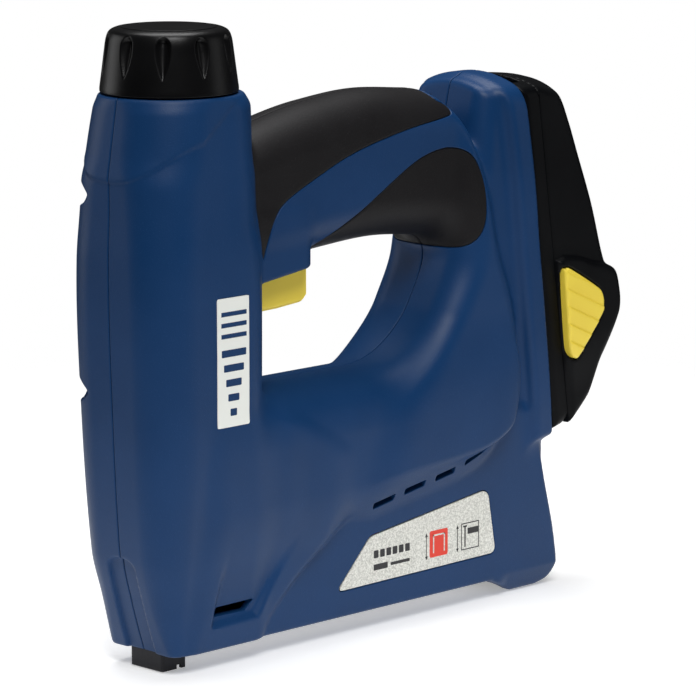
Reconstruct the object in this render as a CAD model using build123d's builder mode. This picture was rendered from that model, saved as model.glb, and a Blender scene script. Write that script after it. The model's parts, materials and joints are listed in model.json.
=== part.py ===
"""Cordless staple gun: two moulded half shells around a spring hammer, its lifting gears and a rail magazine.

Frame, in millimetres: +X points from the nose to the battery, +Z up, -Y is the left side. The origin lies on
the plane that the tool stands on, below the hammer axis, so Z = 0 is the underside of the nose foot and heel.
"""

import os
from math import acos, cos, pi, radians, sin, sqrt, tan

from build123d import *

# ---------------------------------------------------------------- driving dimensions
WALL = 2.6  # moulded wall of the half shells
PAD = 1.7  # thickness of the soft grip skins
FIT = 0.3  # gap between plastic pieces that move or clip

COLUMN_TOP = 209.5  # top face of the hammer column
KNOB_TOP = 233.6
SOLE = 7.0  # underside of the shells; foot and heel stand below it
FLOOR = 99.0  # top of the base, under the fingers
FAR = 300.0  # longer than the tool, for cutting tools

# Section levels of the column: (z, front x, back x, half width, corner radius)
COLUMN = [
    (SOLE, -16.0, 30.0, 17.7, 4.0),
    (26.0, -21.8, 30.0, 20.8, 10.0),
    (43.0, -25.8, 30.0, 23.5, 13.0),
    (94.0, -28.8, 30.0, 27.5, 17.0),
    (140.0, -30.2, 30.0, 28.0, 17.4),
    (178.0, -29.9, 30.0, 27.2, 20.0),
    (COLUMN_TOP, -25.2, 25.2, 25.2, 25.0),
]
# The foot of the column widens backwards into the base.
COLUMN_FOOT = [
    (SOLE, -12.0, 27.0, 17.7, 4.0),
    (26.0, -16.0, 47.0, 20.8, 9.0),
    (45.0, -16.0, 68.0, 23.2, 11.0),
    (58.0, -16.0, 72.0, 23.6, 11.0),
]
# Handle: (x, lowest z, highest z, half width, corner radius)
HANDLE = [
    (12.0, 140.0, 186.0, 16.5, 14.0),
    (42.0, 143.5, 196.0, 17.2, 15.0),
    (68.0, 146.0, 201.0, 17.8, 16.0),
    (95.0, 147.5, 203.3, 18.0, 16.5),
    (122.0, 145.5, 201.5, 18.0, 16.5),
    (150.0, 138.0, 199.0, 18.0, 16.0),
]
# Rear column: (z, front x, half width, corner radius); its back is cut by the battery dock.
REAR = [
    (46.0, 92.0, 19.0, 8.0),
    (75.0, 100.0, 22.6, 10.0),
    (100.0, 111.0, 23.6, 12.0),
    (118.0, 123.0, 24.3, 13.0),
    (136.0, 131.5, 24.8, 13.5),
    (165.0, 135.0, 25.2, 13.5),
    (190.0, 138.5, 24.8, 13.0),
    (204.3, 143.0, 19.0, 10.0),
]
BASE_HALF = 24.0  # half width of the rounded upper base
FLANK = 18.3  # half width of the flat lower base that carries the label
DOCK_POINT = (174.8, 0.0, 116.1)  # middle of the battery dock
DOCK_LEAN = 0.1456  # how far the dock leans back per millimetre of height

# Hammer line
BLADE_X = -10.5  # middle of the driver blade
BLADE_T = 1.2
HAMMER_LOW = 100.0
HAMMER_H = 16.0
HAMMER_LIFT = 22.0
ROD_Y, ROD_R = 17.5, 2.5
FRAME_LOW, FRAME_HIGH = 90.0, 192.5
FRAME_T = 2.5
SCREW_R = 4.95

# Gears, all on axes along X: module, teeth, width start and end
CAM_Z, CAM_TEETH, CAM_M = 74.0, 36, 1.0
MID_SMALL, MID_LARGE, MID_M = 12, 30, 0.8
MOTOR_TEETH = 10
MID_Z = CAM_Z - CAM_M * (CAM_TEETH + MID_SMALL) / 2
MOTOR_Z = MID_Z + MID_M * (MID_LARGE + MOTOR_TEETH) / 2
LIFT_R = 12.0  # orbit of the lifting rollers
PLATE_X = 39.5
MOTOR_R, MOTOR_LENGTH = 13.9, 40.0

# Magazine
CHANNEL_HALF, CHANNEL_T = 7.2, 1.1
CHANNEL_LOW, CHANNEL_TOP = 5.4, 21.0
CHANNEL_START, CHANNEL_END = -8.2, 163.0
CORE_HALF = 4.4

# Trigger
TRIGGER_HALF = 8.2
PIVOT = (37.0, 146.0)

# Shell screws, (x, z), driven from the right side
SCREWS = [(-21, 173.5), (-21, 102.5), (22, 186), (30, 30), (100, 176), (146, 192), (112, 48), (152, 68)]
SCREW_SINK = 4.3  # radius of the sunk holes round the screw heads

os.makedirs("parts", exist_ok=True)
lean = sqrt(1 + DOCK_LEAN**2)
DOWN = Vector(DOCK_LEAN / lean, 0, -1 / lean)  # the way the battery slides off
OUT = Vector(1 / lean, 0, DOCK_LEAN / lean)  # away from the tool, square to the dock
# On this plane x is the tool's Y, y runs up the dock and z points out of it.
DOCK = Plane(origin=DOCK_POINT, x_dir=(0, 1, 0), z_dir=OUT)


def save(solid, name):
    """Labels a finished piece and writes it as one STEP file."""
    solid.label = name
    export_step(solid, f"parts/{name}.step")


def block(x0, x1, y0, y1, z0, z1):
    """A plain box between two corners, kept out of any open builder."""
    with BuildPart(mode=Mode.PRIVATE) as made:
        with Locations(((x0 + x1) / 2, (y0 + y1) / 2, (z0 + z1) / 2)):
            Box(x1 - x0, y1 - y0, z1 - z0)
    return made.part


def dock_block(y0, y1, up0, up1, out0, out1):
    """A box squared to the battery dock: across, up the dock and out of it."""
    with BuildPart(mode=Mode.PRIVATE) as made:
        with BuildSketch(DOCK.offset(out0)):
            with Locations(((y0 + y1) / 2, (up0 + up1) / 2)):
                Rectangle(y1 - y0, up1 - up0)
        extrude(amount=out1 - out0)
    return made.part


def rod(plane, centre, radius, length, bore=0.0):
    """A round bar or sleeve that grows from a plane along its normal."""
    with BuildPart(mode=Mode.PRIVATE) as made:
        with BuildSketch(plane):
            with Locations(centre):
                Circle(radius)
                if bore:
                    Circle(bore, mode=Mode.SUBTRACT)
        extrude(amount=length)
    return made.part


def across(x, z, radius, y0, y1, bore=0.0):
    """A round bar or sleeve along Y."""
    return rod(Plane.XZ.offset(-y1), (x, z), radius, y1 - y0, bore)


def side_plate(points, y0, y1, corner=0.0):
    """A flat plate standing in the XZ plane, between two Y values."""
    with BuildPart(mode=Mode.PRIVATE) as made:
        with BuildSketch(Plane.XZ.offset(-y1)) as outline:
            with BuildLine():
                Polyline(*points, close=True)
            make_face()
            if corner:
                fillet(outline.vertices(), corner)
        extrude(amount=y1 - y0)
    return made.part


def coil(radius, wire, low, high, turns, runs=1):
    """An upright compression spring between two levels, its wire drawn in one or more runs."""
    span = high - low - 2 * wire
    with BuildPart(mode=Mode.PRIVATE) as made:
        with BuildLine() as path:
            for run in range(runs):
                start = low + wire + run * span / runs
                Helix(pitch=span / turns, height=span / runs, radius=radius, center=(0, 0, start))
        with BuildSketch(path.line ^ 0):
            Circle(wire)
        sweep()
    return made.part


# ---------------------------------------------------------------- outer form
def levels_loft(levels, inset):
    """Lofts rounded rectangles that lie in horizontal planes."""
    with BuildPart(mode=Mode.PRIVATE) as made:
        for z, front, back, half, corner in levels:
            with BuildSketch(Plane.XY.offset(z)):
                with Locations(((front + back) / 2, 0)):
                    RectangleRounded(back - front - 2 * inset, 2 * (half - inset), corner - inset)
        loft()
    return made.part


def handle_loft(inset):
    with BuildPart(mode=Mode.PRIVATE) as made:
        for x, low, high, half, corner in HANDLE:
            with BuildSketch(Plane.YZ.offset(x)):
                with Locations((0, (low + high) / 2)):
                    RectangleRounded(2 * (half - inset), high - low - 2 * inset, corner - inset)
        loft()
    return made.part


def dock_x(z):
    """Where the dock plane is at a height."""
    return DOCK_POINT[0] + (DOCK_POINT[2] - z) * DOCK_LEAN


def rear_loft(inset):
    """The rear column, running on past the dock so that the dock can cut it square."""
    overrun = 20.0
    levels = [(z, x, dock_x(z) + overrun, half, corner) for z, x, half, corner in REAR]
    column = levels_loft(levels, inset)
    return column - dock_block(-FAR, FAR, -FAR, FAR, -inset, FAR)


def base_bar(inset):
    """Rounded upper base between the column and the rear column."""
    low, corner = 38.0, 21.0
    with BuildPart(mode=Mode.PRIVATE) as made:
        with BuildSketch(Plane.YZ.offset(2)):
            with Locations((0, (low + FLOOR) / 2)):
                RectangleRounded(2 * (BASE_HALF - inset), FLOOR - low - 2 * inset, corner - inset)
        extrude(amount=140)
    return made.part


def flank_plate(inset):
    """Flat lower base and heel, with the notch under the battery."""
    outline = [
        (0, SOLE + inset),
        (154, SOLE + inset),
        (162, SOLE - 2 + inset),
        (184, SOLE - 2 + inset),
        (189.6 - inset, 9),
        (187.4 - inset, 22),
        (178.6 - inset, 57 - inset),
        (178 - inset, 66),
        (0, 66),
    ]
    return side_plate(outline, -FLANK + inset, FLANK - inset)


def trigger_boss(inset):
    """The lump under the handle that the trigger comes out of."""
    with BuildPart(mode=Mode.PRIVATE) as made:
        with BuildSketch(Plane.XY.offset(139.0 + inset)):
            with Locations((40.0, 0)):
                RectangleRounded(46 - 2 * inset, 32 - 2 * inset, 12 - inset)
        extrude(amount=22)
    return made.part


def body_form(inset=0.0):
    """The whole outer form of the shells, shrunk on all sides by inset."""
    column = [list(level) for level in COLUMN]
    foot = [list(level) for level in COLUMN_FOOT]
    column[0][0] += inset
    foot[0][0] += inset
    column[-1][0] -= inset
    rear = rear_loft(inset)
    if inset:
        rear = rear - block(0, FAR, -FAR, FAR, 204.3 - inset, FAR) - block(0, FAR, -FAR, FAR, 0, 46 + inset)
    return (
        levels_loft(column, inset)
        + levels_loft(foot, inset)
        + handle_loft(inset)
        + rear
        + base_bar(inset)
        + flank_plate(inset)
        + trigger_boss(inset)
    )


def heel_block():
    """Lower tip of the heel, drawn in towards the plane that the tool stands on."""
    with BuildPart(mode=Mode.PRIVATE) as made:
        for z, front, back, half in ((0.0, 165.0, 183.0, 13.0), (SOLE - 1, 160.0, 189.0, FLANK - 0.6)):
            with BuildSketch(Plane.XY.offset(z)):
                with Locations(((front + back) / 2, 0)):
                    RectangleRounded(back - front, 2 * half, 3.0)
        loft()
    return made.part


# ---------------------------------------------------------------- half shells
UPPER_GRIP = [
    (31.5, 206.0),
    (31.5, 147.0),
    (35.3, 159.5),
    (40.4, 166.3),
    (55.8, 173.9),
    (76.6, 182.3),
    (103.1, 188.2),
    (130.8, 192.4),
    (131.0, 195.8),
    (124.0, 206.0),
]
LOWER_GRIP = [
    (60.5, 148.0),
    (70.9, 154.9),
    (89.4, 165.3),
    (105.4, 174.3),
    (116.2, 178.2),
    (127.2, 179.8),
    (136.6, 177.1),
    (141.1, 167.8),
    (141.7, 158.1),
    (139.6, 146.0),
    (133.0, 138.5),
    (119.0, 138.5),
    (75.0, 138.5),
]
LABEL = [(66.4, 18.2), (85.2, 37.4), (89.0, 38.0), (141.4, 44.0), (147.2, 40.8), (151.4, 21.2), (148.6, 18.6)]
BADGE = [(-2.6, 92.0), (13.2, 90.5), (13.2, 134.0), (-2.6, 136.0)]
VENTS = [((78.2, 50.8), (89.5, 52.1)), ((94.3, 52.9), (106.3, 54.9)), ((111.8, 55.6), (122.8, 57.4))]
VENTS.append(((127.8, 59.0), (138.5, 62.1)))

outer = body_form()
cavity = body_form(WALL)
skin = outer - body_form(PAD)


def slot_bar(start, end, radius):
    """A round-ended bar running right across the tool, to cut a pair of slots."""
    with BuildPart(mode=Mode.PRIVATE) as made:
        with BuildSketch(Plane.XZ.offset(-FAR / 2)):
            with BuildLine() as path:
                Line(start, end)
            trace(path.line, line_width=2 * radius)
            with Locations(start, end):
                Circle(radius)
        extrude(amount=FAR)
    return made.part


ribs = [
    block(-10, -2, 6.8, 26, 56.2, 58.8),  # stops for the foot springs
    block(-10, -2, -26, -6.8, 56.2, 58.8),
    block(48, 50.5, -24, 24, 40, 96) - rod(Plane.YZ.offset(40), (0, MOTOR_Z), MOTOR_R + 0.05, 50),
    block(73, 75.5, -24, 24, 40, 96) - rod(Plane.YZ.offset(40), (0, MOTOR_Z), MOTOR_R + 0.05, 50),
    block(36.8, 39.4, -24, 24, 24, 98) - block(30, 45, -18.6, 18.6, 34.0, 91.5),
    block(66, 150, -16.5, -CHANNEL_HALF, 23.5, 25.5),  # long ribs over the magazine
    block(66, 150, CHANNEL_HALF, 16.5, 23.5, 25.5),
    block(161, 192, -18, 18, 4, 26),  # solid cheeks of the heel
]
for side in (-1, 1):
    for level in (FRAME_LOW - 1.5, FRAME_LOW + FRAME_T, FRAME_HIGH - FRAME_T - 1.5, FRAME_HIGH):
        near, far = sorted((side * 19.8, side * 27))
        ribs.append(block(-7, 7, near, far, level, level + 1.5))
bosses = [across(x, z, 3.7, -FAR, 0) for x, z in SCREWS]
bosses += [across(x, z, SCREW_SINK + 1.4, 0, FAR) for x, z in SCREWS]

# Everything that stands inside the walls ends at the outer form.
inner_parts = (Part() + ribs + bosses) & outer
shell = (outer - cavity) + inner_parts + heel_block()

cuts = [
    rod(Plane.XY.offset(200), (0, 0), 8.6, 20),  # neck of the knob
    block(-14.0, -1.6, -9.1, 9.1, 0, 12),  # nose foot
    block(-8.6, 170, -CHANNEL_HALF - 0.15, CHANNEL_HALF + 0.15, 2, CHANNEL_TOP + 0.2),
    block(161.4, FAR, -9.2, 9.2, -1, CHANNEL_TOP + 1.4),  # between the heel cheeks
    dock_block(-12.2, 12.2, -22.4, 22.4, -10, 5),  # battery contacts
    block(31.4, 62.0, -TRIGGER_HALF - 0.5, TRIGGER_HALF + 0.5, 130, 152),
    slot_bar((-1.0, 23.4), (15.0, 24.2), 1.9),  # sight slots of the magazine
]
cuts += [slot_bar(start, end, 1.4) for start, end in VENTS]
for plan in (UPPER_GRIP, LOWER_GRIP):
    cuts.append(skin & side_plate(plan, -40, 40))
for side in (-1, 1):
    near, far = sorted((side * (FLANK - 0.6), side * 40))
    cuts.append(side_plate(LABEL, near, far) & block(0, FAR, -19, 19, 0, 45))
    near, far = sorted((side * 26.4, side * 40))
    cuts.append(side_plate(BADGE, near, far, 1.5))
for x, z in SCREWS:
    cuts.append(across(x, z, SCREW_SINK, 9.0, 60))
    cuts.append(across(x, z, 1.7, 0, 10))
    cuts.append(across(x, z, 1.25, -10, 0))
shell = shell - cuts

left_housing = shell & block(-FAR, FAR, -FAR, 0, -FAR, FAR)
right_housing = shell & block(-FAR, FAR, 0, FAR, -FAR, FAR)
save(left_housing.solids().sort_by(SortBy.VOLUME)[-1], "left_housing")
save(right_housing.solids().sort_by(SortBy.VOLUME)[-1], "right_housing")

for name, side in (("left", -1), ("right", 1)):
    near, far = sorted((side * 0.15, side * 60))
    half_space = block(-FAR, FAR, near, far, -FAR, FAR)
    for level, plan in (("upper", UPPER_GRIP), ("lower", LOWER_GRIP)):
        pad = skin & side_plate(plan, -40, 40) & half_space
        save(pad.solids().sort_by(SortBy.VOLUME)[-1], f"{level}_grip_{name}")
    near, far = sorted((side * (FLANK - 0.6), side * (FLANK - 0.05)))
    save(side_plate(LABEL, near, far), f"label_{name}")
    near, far = sorted((side * 26.4, side * 27.3))
    save(side_plate(BADGE, near, far, 1.5), f"badge_{name}")

with BuildPart() as screws:
    for x, z in SCREWS:
        with BuildSketch(Plane.XZ.offset(-9.05)):
            with Locations((x, z)):
                Circle(3.8)
        extrude(amount=-2.2)
        with BuildSketch(Plane.XZ.offset(-9.05)):
            with Locations((x, z)):
                Circle(1.25)
        extrude(amount=18.0)
        with BuildSketch(Plane.XZ.offset(-11.25)):
            with Locations((x, z)):
                RegularPolygon(1.3, 6)
        extrude(amount=1.2, mode=Mode.SUBTRACT)
save(screws.part, "housing_screws")

# ---------------------------------------------------------------- power knob and its screw
with BuildPart() as knob:
    with BuildSketch(Plane.XZ):
        with BuildLine():
            Line((0, 210.1), (24.8, 210.1))
            Line((24.8, 210.1), (24.6, 212.5))
            Line((24.6, 212.5), (22.8, 228.8))
            ThreePointArc((22.8, 228.8), (21.4, 231.9), (18.6, 232.9))
            Line((18.6, 232.9), (16.9, KNOB_TOP))
            Line((16.9, KNOB_TOP), (0, KNOB_TOP))
            Line((0, KNOB_TOP), (0, 210.1))
        make_face()
    revolve(axis=Axis.Z)
    # Finger scallops
    with PolarLocations(30.0, 10, start_angle=8):
        with Locations((0, 0, 222.8)):
            Sphere(radius=8.0, mode=Mode.SUBTRACT)
    # Hollow under the cap, with a boss for the screw
    with BuildSketch(Plane.XY.offset(210.0)):
        Circle(20.0)
        Circle(9.0, mode=Mode.SUBTRACT)
    extrude(amount=14, mode=Mode.SUBTRACT)
    with BuildSketch(Plane.XY.offset(210.0)):
        Rectangle(7.0, 7.0)
    extrude(amount=12, mode=Mode.SUBTRACT)
save(knob.part, "power_knob")

SEAT = 180.0
with BuildPart() as adjuster:
    with BuildSketch(Plane.XY.offset(160)):
        Circle(SCREW_R)
    extrude(amount=50)
    with BuildSketch(Plane.XY.offset(FRAME_HIGH - FRAME_T - 2.1)):
        Circle(8.0)
    extrude(amount=1.95)
    with BuildSketch(Plane.XY.offset(210)):
        Rectangle(6.9, 6.9)
    extrude(amount=11.5)
    chamfer(adjuster.faces().sort_by(Axis.Z)[0].edges(), 0.8)
save(adjuster.part, "adjuster_screw")

with BuildPart() as seat:
    with BuildSketch(Plane.XY.offset(SEAT)):
        Circle(14.9)
        Rectangle(8.0, 2 * ROD_Y)
        with Locations((0, ROD_Y), (0, -ROD_Y)):
            Circle(4.4)
    extrude(amount=3.5)
    with BuildSketch(Plane.XY.offset(SEAT - 5)):
        Circle(7.6)
    extrude(amount=5)
    with BuildSketch(Plane.XY.offset(SEAT - 6)):
        Circle(SCREW_R + 0.05)
        with Locations((0, ROD_Y), (0, -ROD_Y)):
            Circle(ROD_R + 0.05)
    extrude(amount=12, mode=Mode.SUBTRACT)
save(seat.part, "spring_seat")

# ---------------------------------------------------------------- hammer line
with BuildPart() as hammer:
    with BuildSketch(Plane.XY.offset(HAMMER_LOW)):
        RectangleRounded(27.0, 16.0, 2.0)
        Rectangle(9.0, 2 * ROD_Y)
        with Locations((0, ROD_Y), (0, -ROD_Y)):
            Circle(5.0)
    extrude(amount=HAMMER_H)
    with BuildSketch(Plane.XY.offset(HAMMER_LOW + HAMMER_H - 4)):
        Circle(14.9)
    extrude(amount=4)
    # Leg with the claw that the lifting rollers pick up
    with BuildSketch(Plane.XY.offset(65.0)):
        with Locations((10.75, 0)):
            RectangleRounded(5.5, 12.0, 1.0)
    extrude(amount=36)
    with BuildSketch(Plane.XY.offset(HAMMER_LOW - 1)):
        with Locations((BLADE_X, 0)):
            Rectangle(BLADE_T, 10.8)
    extrude(amount=12, mode=Mode.SUBTRACT)
    with BuildSketch(Plane.XY.offset(HAMMER_LOW - 1)):
        with Locations((0, ROD_Y), (0, -ROD_Y)):
            Circle(ROD_R + 0.05)
    extrude(amount=20, mode=Mode.SUBTRACT)
save(hammer.part, "hammer")

with BuildPart() as blade:
    with BuildSketch(Plane.XY.offset(4.0)):
        with Locations((BLADE_X, 0)):
            Rectangle(BLADE_T, 10.8)
    extrude(amount=HAMMER_LOW + 7)
save(blade.part, "driver_blade")

with BuildPart() as rods:
    with BuildSketch(Plane.XY.offset(FRAME_LOW)):
        with Locations((0, ROD_Y), (0, -ROD_Y)):
            Circle(ROD_R)
    extrude(amount=FRAME_HIGH - FRAME_LOW)
save(rods.part, "guide_rods")

with BuildPart() as lower_bracket:
    with BuildSketch(Plane.XY.offset(FRAME_LOW)):
        RectangleRounded(40.0, 42.6, 7.0)
        with Locations((0, ROD_Y), (0, -ROD_Y)):
            Circle(ROD_R, mode=Mode.SUBTRACT)
        with Locations((BLADE_X, 0)):
            Rectangle(3.0, 12.6, mode=Mode.SUBTRACT)
        with Locations((10.75, 0)):
            Rectangle(7.0, 13.6, mode=Mode.SUBTRACT)
    extrude(amount=FRAME_T)
save(lower_bracket.part, "lower_bracket")

with BuildPart() as upper_bracket:
    with BuildSketch(Plane.XY.offset(FRAME_HIGH - FRAME_T)):
        RectangleRounded(30.0, 42.6, 7.0)
        Circle(SCREW_R + 0.05, mode=Mode.SUBTRACT)
        with Locations((0, ROD_Y), (0, -ROD_Y)):
            Circle(ROD_R, mode=Mode.SUBTRACT)
    extrude(amount=FRAME_T)
save(upper_bracket.part, "upper_bracket")

with BuildPart() as bumper:
    with BuildSketch(Plane.XY.offset(FRAME_LOW + FRAME_T)):
        with Locations((-1.0, 0)):
            RectangleRounded(14.0, 24.0, 3.0)
    extrude(amount=HAMMER_LOW - FRAME_LOW - FRAME_T - 0.3)
save(bumper.part, "hammer_bumper")

save(coil(12.9, 1.6, HAMMER_LOW + HAMMER_H + 0.1, SEAT - 0.1, 8, runs=8), "main_spring")

# ---------------------------------------------------------------- nose
with BuildPart() as nose:
    with BuildSketch(Plane.XY.offset(3.2)):
        with Locations((-10.15, 0)):
            Rectangle(3.9, 14.4)
    extrude(amount=41.8)
    with BuildSketch(Plane.XY.offset(3.0)):
        with Locations((BLADE_X, 0)):
            Rectangle(BLADE_T + 0.2, 11.8)
    extrude(amount=50, mode=Mode.SUBTRACT)
    # Window that lets one staple in from the magazine
    with BuildSketch(Plane.XY.offset(3.0)):
        with Locations((-9.0, 0)):
            Rectangle(3.0, 11.8)
    extrude(amount=18.0, mode=Mode.SUBTRACT)
save(nose.part, "nose_guide")

FOOT_TRAVEL = 3.0
FOOT_SPRING = 40.0
with BuildPart() as foot:
    with BuildSketch(Plane.XY):
        with Locations((-7.9, 0)):
            Rectangle(11.2, 17.3)
        with Locations((-6.9, 0)):
            Rectangle(10.8, 14.9, mode=Mode.SUBTRACT)
    extrude(amount=7.4)
    with BuildSketch(Plane.XY.offset(7.0)):
        for side in (-1, 1):
            with Locations((-7.0, side * 8.05)):
                Rectangle(6.0, 1.2)
    extrude(amount=FOOT_SPRING - 7)
    # Seats for the two return springs
    with BuildSketch(Plane.XY.offset(FOOT_SPRING - 1.5)):
        for side in (-1, 1):
            with Locations((-6.0, side * 9.6)):
                RectangleRounded(5.4, 4.4, 1.0)
    extrude(amount=1.5)
    with BuildSketch(Plane.XZ.offset(-20)):
        with Locations((-5.4, 0)):
            Rectangle(2.2, 3.0)
    extrude(amount=40, mode=Mode.SUBTRACT)
    fillet(foot.edges().filter_by(Axis.Z).filter_by_position(Axis.X, -13.6, -13.4), 1.0)
save(foot.part, "contact_foot")

with BuildPart() as foot_springs:
    for side in (-1, 1):
        add(Pos(-6.0, side * 9.8, 0) * coil(1.9, 0.3, FOOT_SPRING + 0.05, 56.15, 8))
save(foot_springs.part, "foot_springs")


# ---------------------------------------------------------------- lifting gears
def tooth_outline(module, teeth, phase, level, thinning=0.08):
    """Corner points of an involute spur gear round (0, level); phase turns the first tooth, in degrees."""
    pitch_r = module * teeth / 2
    base_r = pitch_r * cos(radians(20))
    root_r = pitch_r - 1.25 * module
    tip_r = pitch_r + 0.95 * module
    involute = tan(radians(20)) - radians(20)
    low = max(root_r, base_r)
    radii = [low + (tip_r - low) * share for share in (0.0, 0.25, 0.5, 0.75, 1.0)]
    points = []
    for tooth in range(teeth):
        middle = radians(phase) + 2 * pi * tooth / teeth
        flank = []
        for r in radii:
            roll = acos(min(1.0, base_r / r))
            half = pi / (2 * teeth) + involute - (tan(roll) - roll) - thinning / (2 * pitch_r)
            flank.append((r, half))
        if root_r < low:
            flank.insert(0, (root_r, flank[0][1]))
        rising = [(r, middle - half) for r, half in flank]
        falling = [(r, middle + half) for r, half in reversed(flank)]
        points += [(r * cos(turn), level + r * sin(turn)) for r, turn in rising + falling]
    return points


def gear(x, width, level, module, teeth, phase):
    with BuildPart(mode=Mode.PRIVATE) as made:
        with BuildSketch(Plane.YZ.offset(x)):
            with BuildLine():
                Polyline(*tooth_outline(module, teeth, phase, level), close=True)
            make_face()
        extrude(amount=width)
    return made.part


AXLE_R = 2.0
with BuildPart() as cam_wheel:
    add(gear(24.0, 6.0, CAM_Z, CAM_M, CAM_TEETH, 0))
    with BuildSketch(Plane.YZ.offset(24.0)):
        with Locations((0, CAM_Z)):
            Circle(4.5)
    extrude(amount=7.2)
    with BuildSketch(Plane.YZ.offset(14.2)):
        with Locations((LIFT_R, CAM_Z), (-LIFT_R, CAM_Z)):
            Circle(AXLE_R)
    extrude(amount=10)
    with BuildSketch(Plane.YZ.offset(10.0)):
        with Locations((0, CAM_Z)):
            Circle(AXLE_R + 0.05)
    extrude(amount=40, mode=Mode.SUBTRACT)
    with BuildSketch(Plane.YZ.offset(20.0)):
        with Locations((0, CAM_Z + 11), (0, CAM_Z - 11)):
            Circle(3.0)
    extrude(amount=20, mode=Mode.SUBTRACT)
save(cam_wheel.part, "cam_wheel")

with BuildPart() as rollers:
    with BuildSketch(Plane.YZ.offset(15.0)):
        with Locations((LIFT_R, CAM_Z), (-LIFT_R, CAM_Z)):
            Circle(3.2)
            Circle(AXLE_R + 0.02, mode=Mode.SUBTRACT)
    extrude(amount=8.7)
save(rollers.part, "lift_rollers")

with BuildPart() as mid_gear:
    add(gear(24.0, 7.6, MID_Z, CAM_M, MID_SMALL, 15))
    add(gear(31.6, 5.4, MID_Z, MID_M, MID_LARGE, 0))
    with BuildSketch(Plane.YZ.offset(24.0)):
        with Locations((0, MID_Z)):
            Circle(3.4)
    extrude(amount=15)
    with BuildSketch(Plane.YZ.offset(20.0)):
        with Locations((0, MID_Z)):
            Circle(AXLE_R + 0.05)
    extrude(amount=25, mode=Mode.SUBTRACT)
save(mid_gear.part, "reduction_gear")

with BuildPart() as pinion:
    add(gear(31.8, 6.0, MOTOR_Z, MID_M, MOTOR_TEETH, 18))
    with BuildSketch(Plane.YZ.offset(31.8)):
        with Locations((0, MOTOR_Z)):
            Circle(1.6)
    extrude(amount=42)
save(pinion.part, "motor_pinion")

with BuildPart() as axles:
    with BuildSketch(Plane.YZ.offset(22.4)):
        with Locations((0, CAM_Z), (0, MID_Z)):
            Circle(AXLE_R)
    extrude(amount=PLATE_X + 2.0 - 22.4)
    with BuildSketch(Plane.YZ.offset(22.4)):
        with Locations((0, CAM_Z), (0, MID_Z)):
            Circle(3.2)
    extrude(amount=1.3)
save(axles.part, "gear_axles")

with BuildPart() as plate:
    with BuildSketch(Plane.YZ.offset(PLATE_X)):
        with Locations((0, 68.5)):
            RectangleRounded(41.0, 53.0, 17.0)
        with Locations((0, CAM_Z), (0, MID_Z)):
            Circle(AXLE_R, mode=Mode.SUBTRACT)
        with Locations((0, MOTOR_Z)):
            Circle(2.4, mode=Mode.SUBTRACT)
    extrude(amount=2.0)
save(plate.part, "gear_plate")

with BuildPart() as motor:
    with BuildSketch(Plane.YZ.offset(PLATE_X + 2.0)):
        with Locations((0, MOTOR_Z)):
            Circle(MOTOR_R)
    extrude(amount=MOTOR_LENGTH)
    chamfer(motor.edges().filter_by(GeomType.CIRCLE), 0.8)
    with BuildSketch(Plane.YZ.offset(PLATE_X)):
        with Locations((0, MOTOR_Z)):
            Circle(1.65)
    extrude(amount=38, mode=Mode.SUBTRACT)
save(motor.part, "motor_can")

with BuildPart() as motor_cap:
    with BuildSketch(Plane.YZ.offset(PLATE_X + 2.05 + MOTOR_LENGTH)):
        with Locations((0, MOTOR_Z)):
            Circle(12.6)
    extrude(amount=3.5)
    with BuildSketch(Plane.YZ.offset(PLATE_X + 5.5 + MOTOR_LENGTH)):
        with Locations((6.5, MOTOR_Z), (-6.5, MOTOR_Z)):
            Rectangle(0.8, 4.0)
    extrude(amount=4.5)
save(motor_cap.part, "motor_end_cap")

# ---------------------------------------------------------------- trigger and switch
with BuildPart() as trigger:
    with BuildSketch(Plane.XZ.offset(-TRIGGER_HALF)) as outline:
        with BuildLine():
            Polyline((33.2, 126.0), (46.0, 126.4), (57.6, 127.4), (60.4, 130.4), (60.4, 148.8))
            Polyline((60.4, 148.8), (32.6, 148.8), (33.2, 126.0))
        make_face()
    extrude(amount=2 * TRIGGER_HALF)
    fillet(trigger.faces().sort_by(Axis.Z)[0].edges().filter_by(Axis.X, tolerance=3), 1.6)
    with BuildSketch(Plane.XZ.offset(-20)):
        with Locations(PIVOT):
            Circle(1.55)
    extrude(amount=40, mode=Mode.SUBTRACT)
    # Hollow core
    with BuildSketch(Plane.XZ.offset(-TRIGGER_HALF + 2)):
        with Locations((50.6, 140.5)):
            Rectangle(15.0, 13.5)
    extrude(amount=2 * TRIGGER_HALF - 4, mode=Mode.SUBTRACT)
save(trigger.part, "trigger")

with BuildPart() as trigger_pin:
    with BuildSketch(Plane.XZ.offset(-13.2)):
        with Locations(PIVOT):
            Circle(1.5)
    extrude(amount=26.4)
save(trigger_pin.part, "trigger_pin")

save(Pos(49, 0, 0) * coil(2.6, 0.3, 148.9, 157.9, 5), "trigger_spring")

with BuildPart() as switch:
    with BuildSketch(Plane.XY.offset(158)):
        with Locations((55, 0)):
            RectangleRounded(22, 10, 1)
    extrude(amount=9)
    with BuildSketch(Plane.XY.offset(152.6)):
        with Locations((58, 0)):
            Circle(1.6)
    extrude(amount=6)
    with BuildSketch(Plane.XY.offset(167)):
        with Locations((48, 0), (62, 0)):
            Rectangle(0.8, 4)
    extrude(amount=5)
save(switch.part, "trigger_switch")

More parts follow.
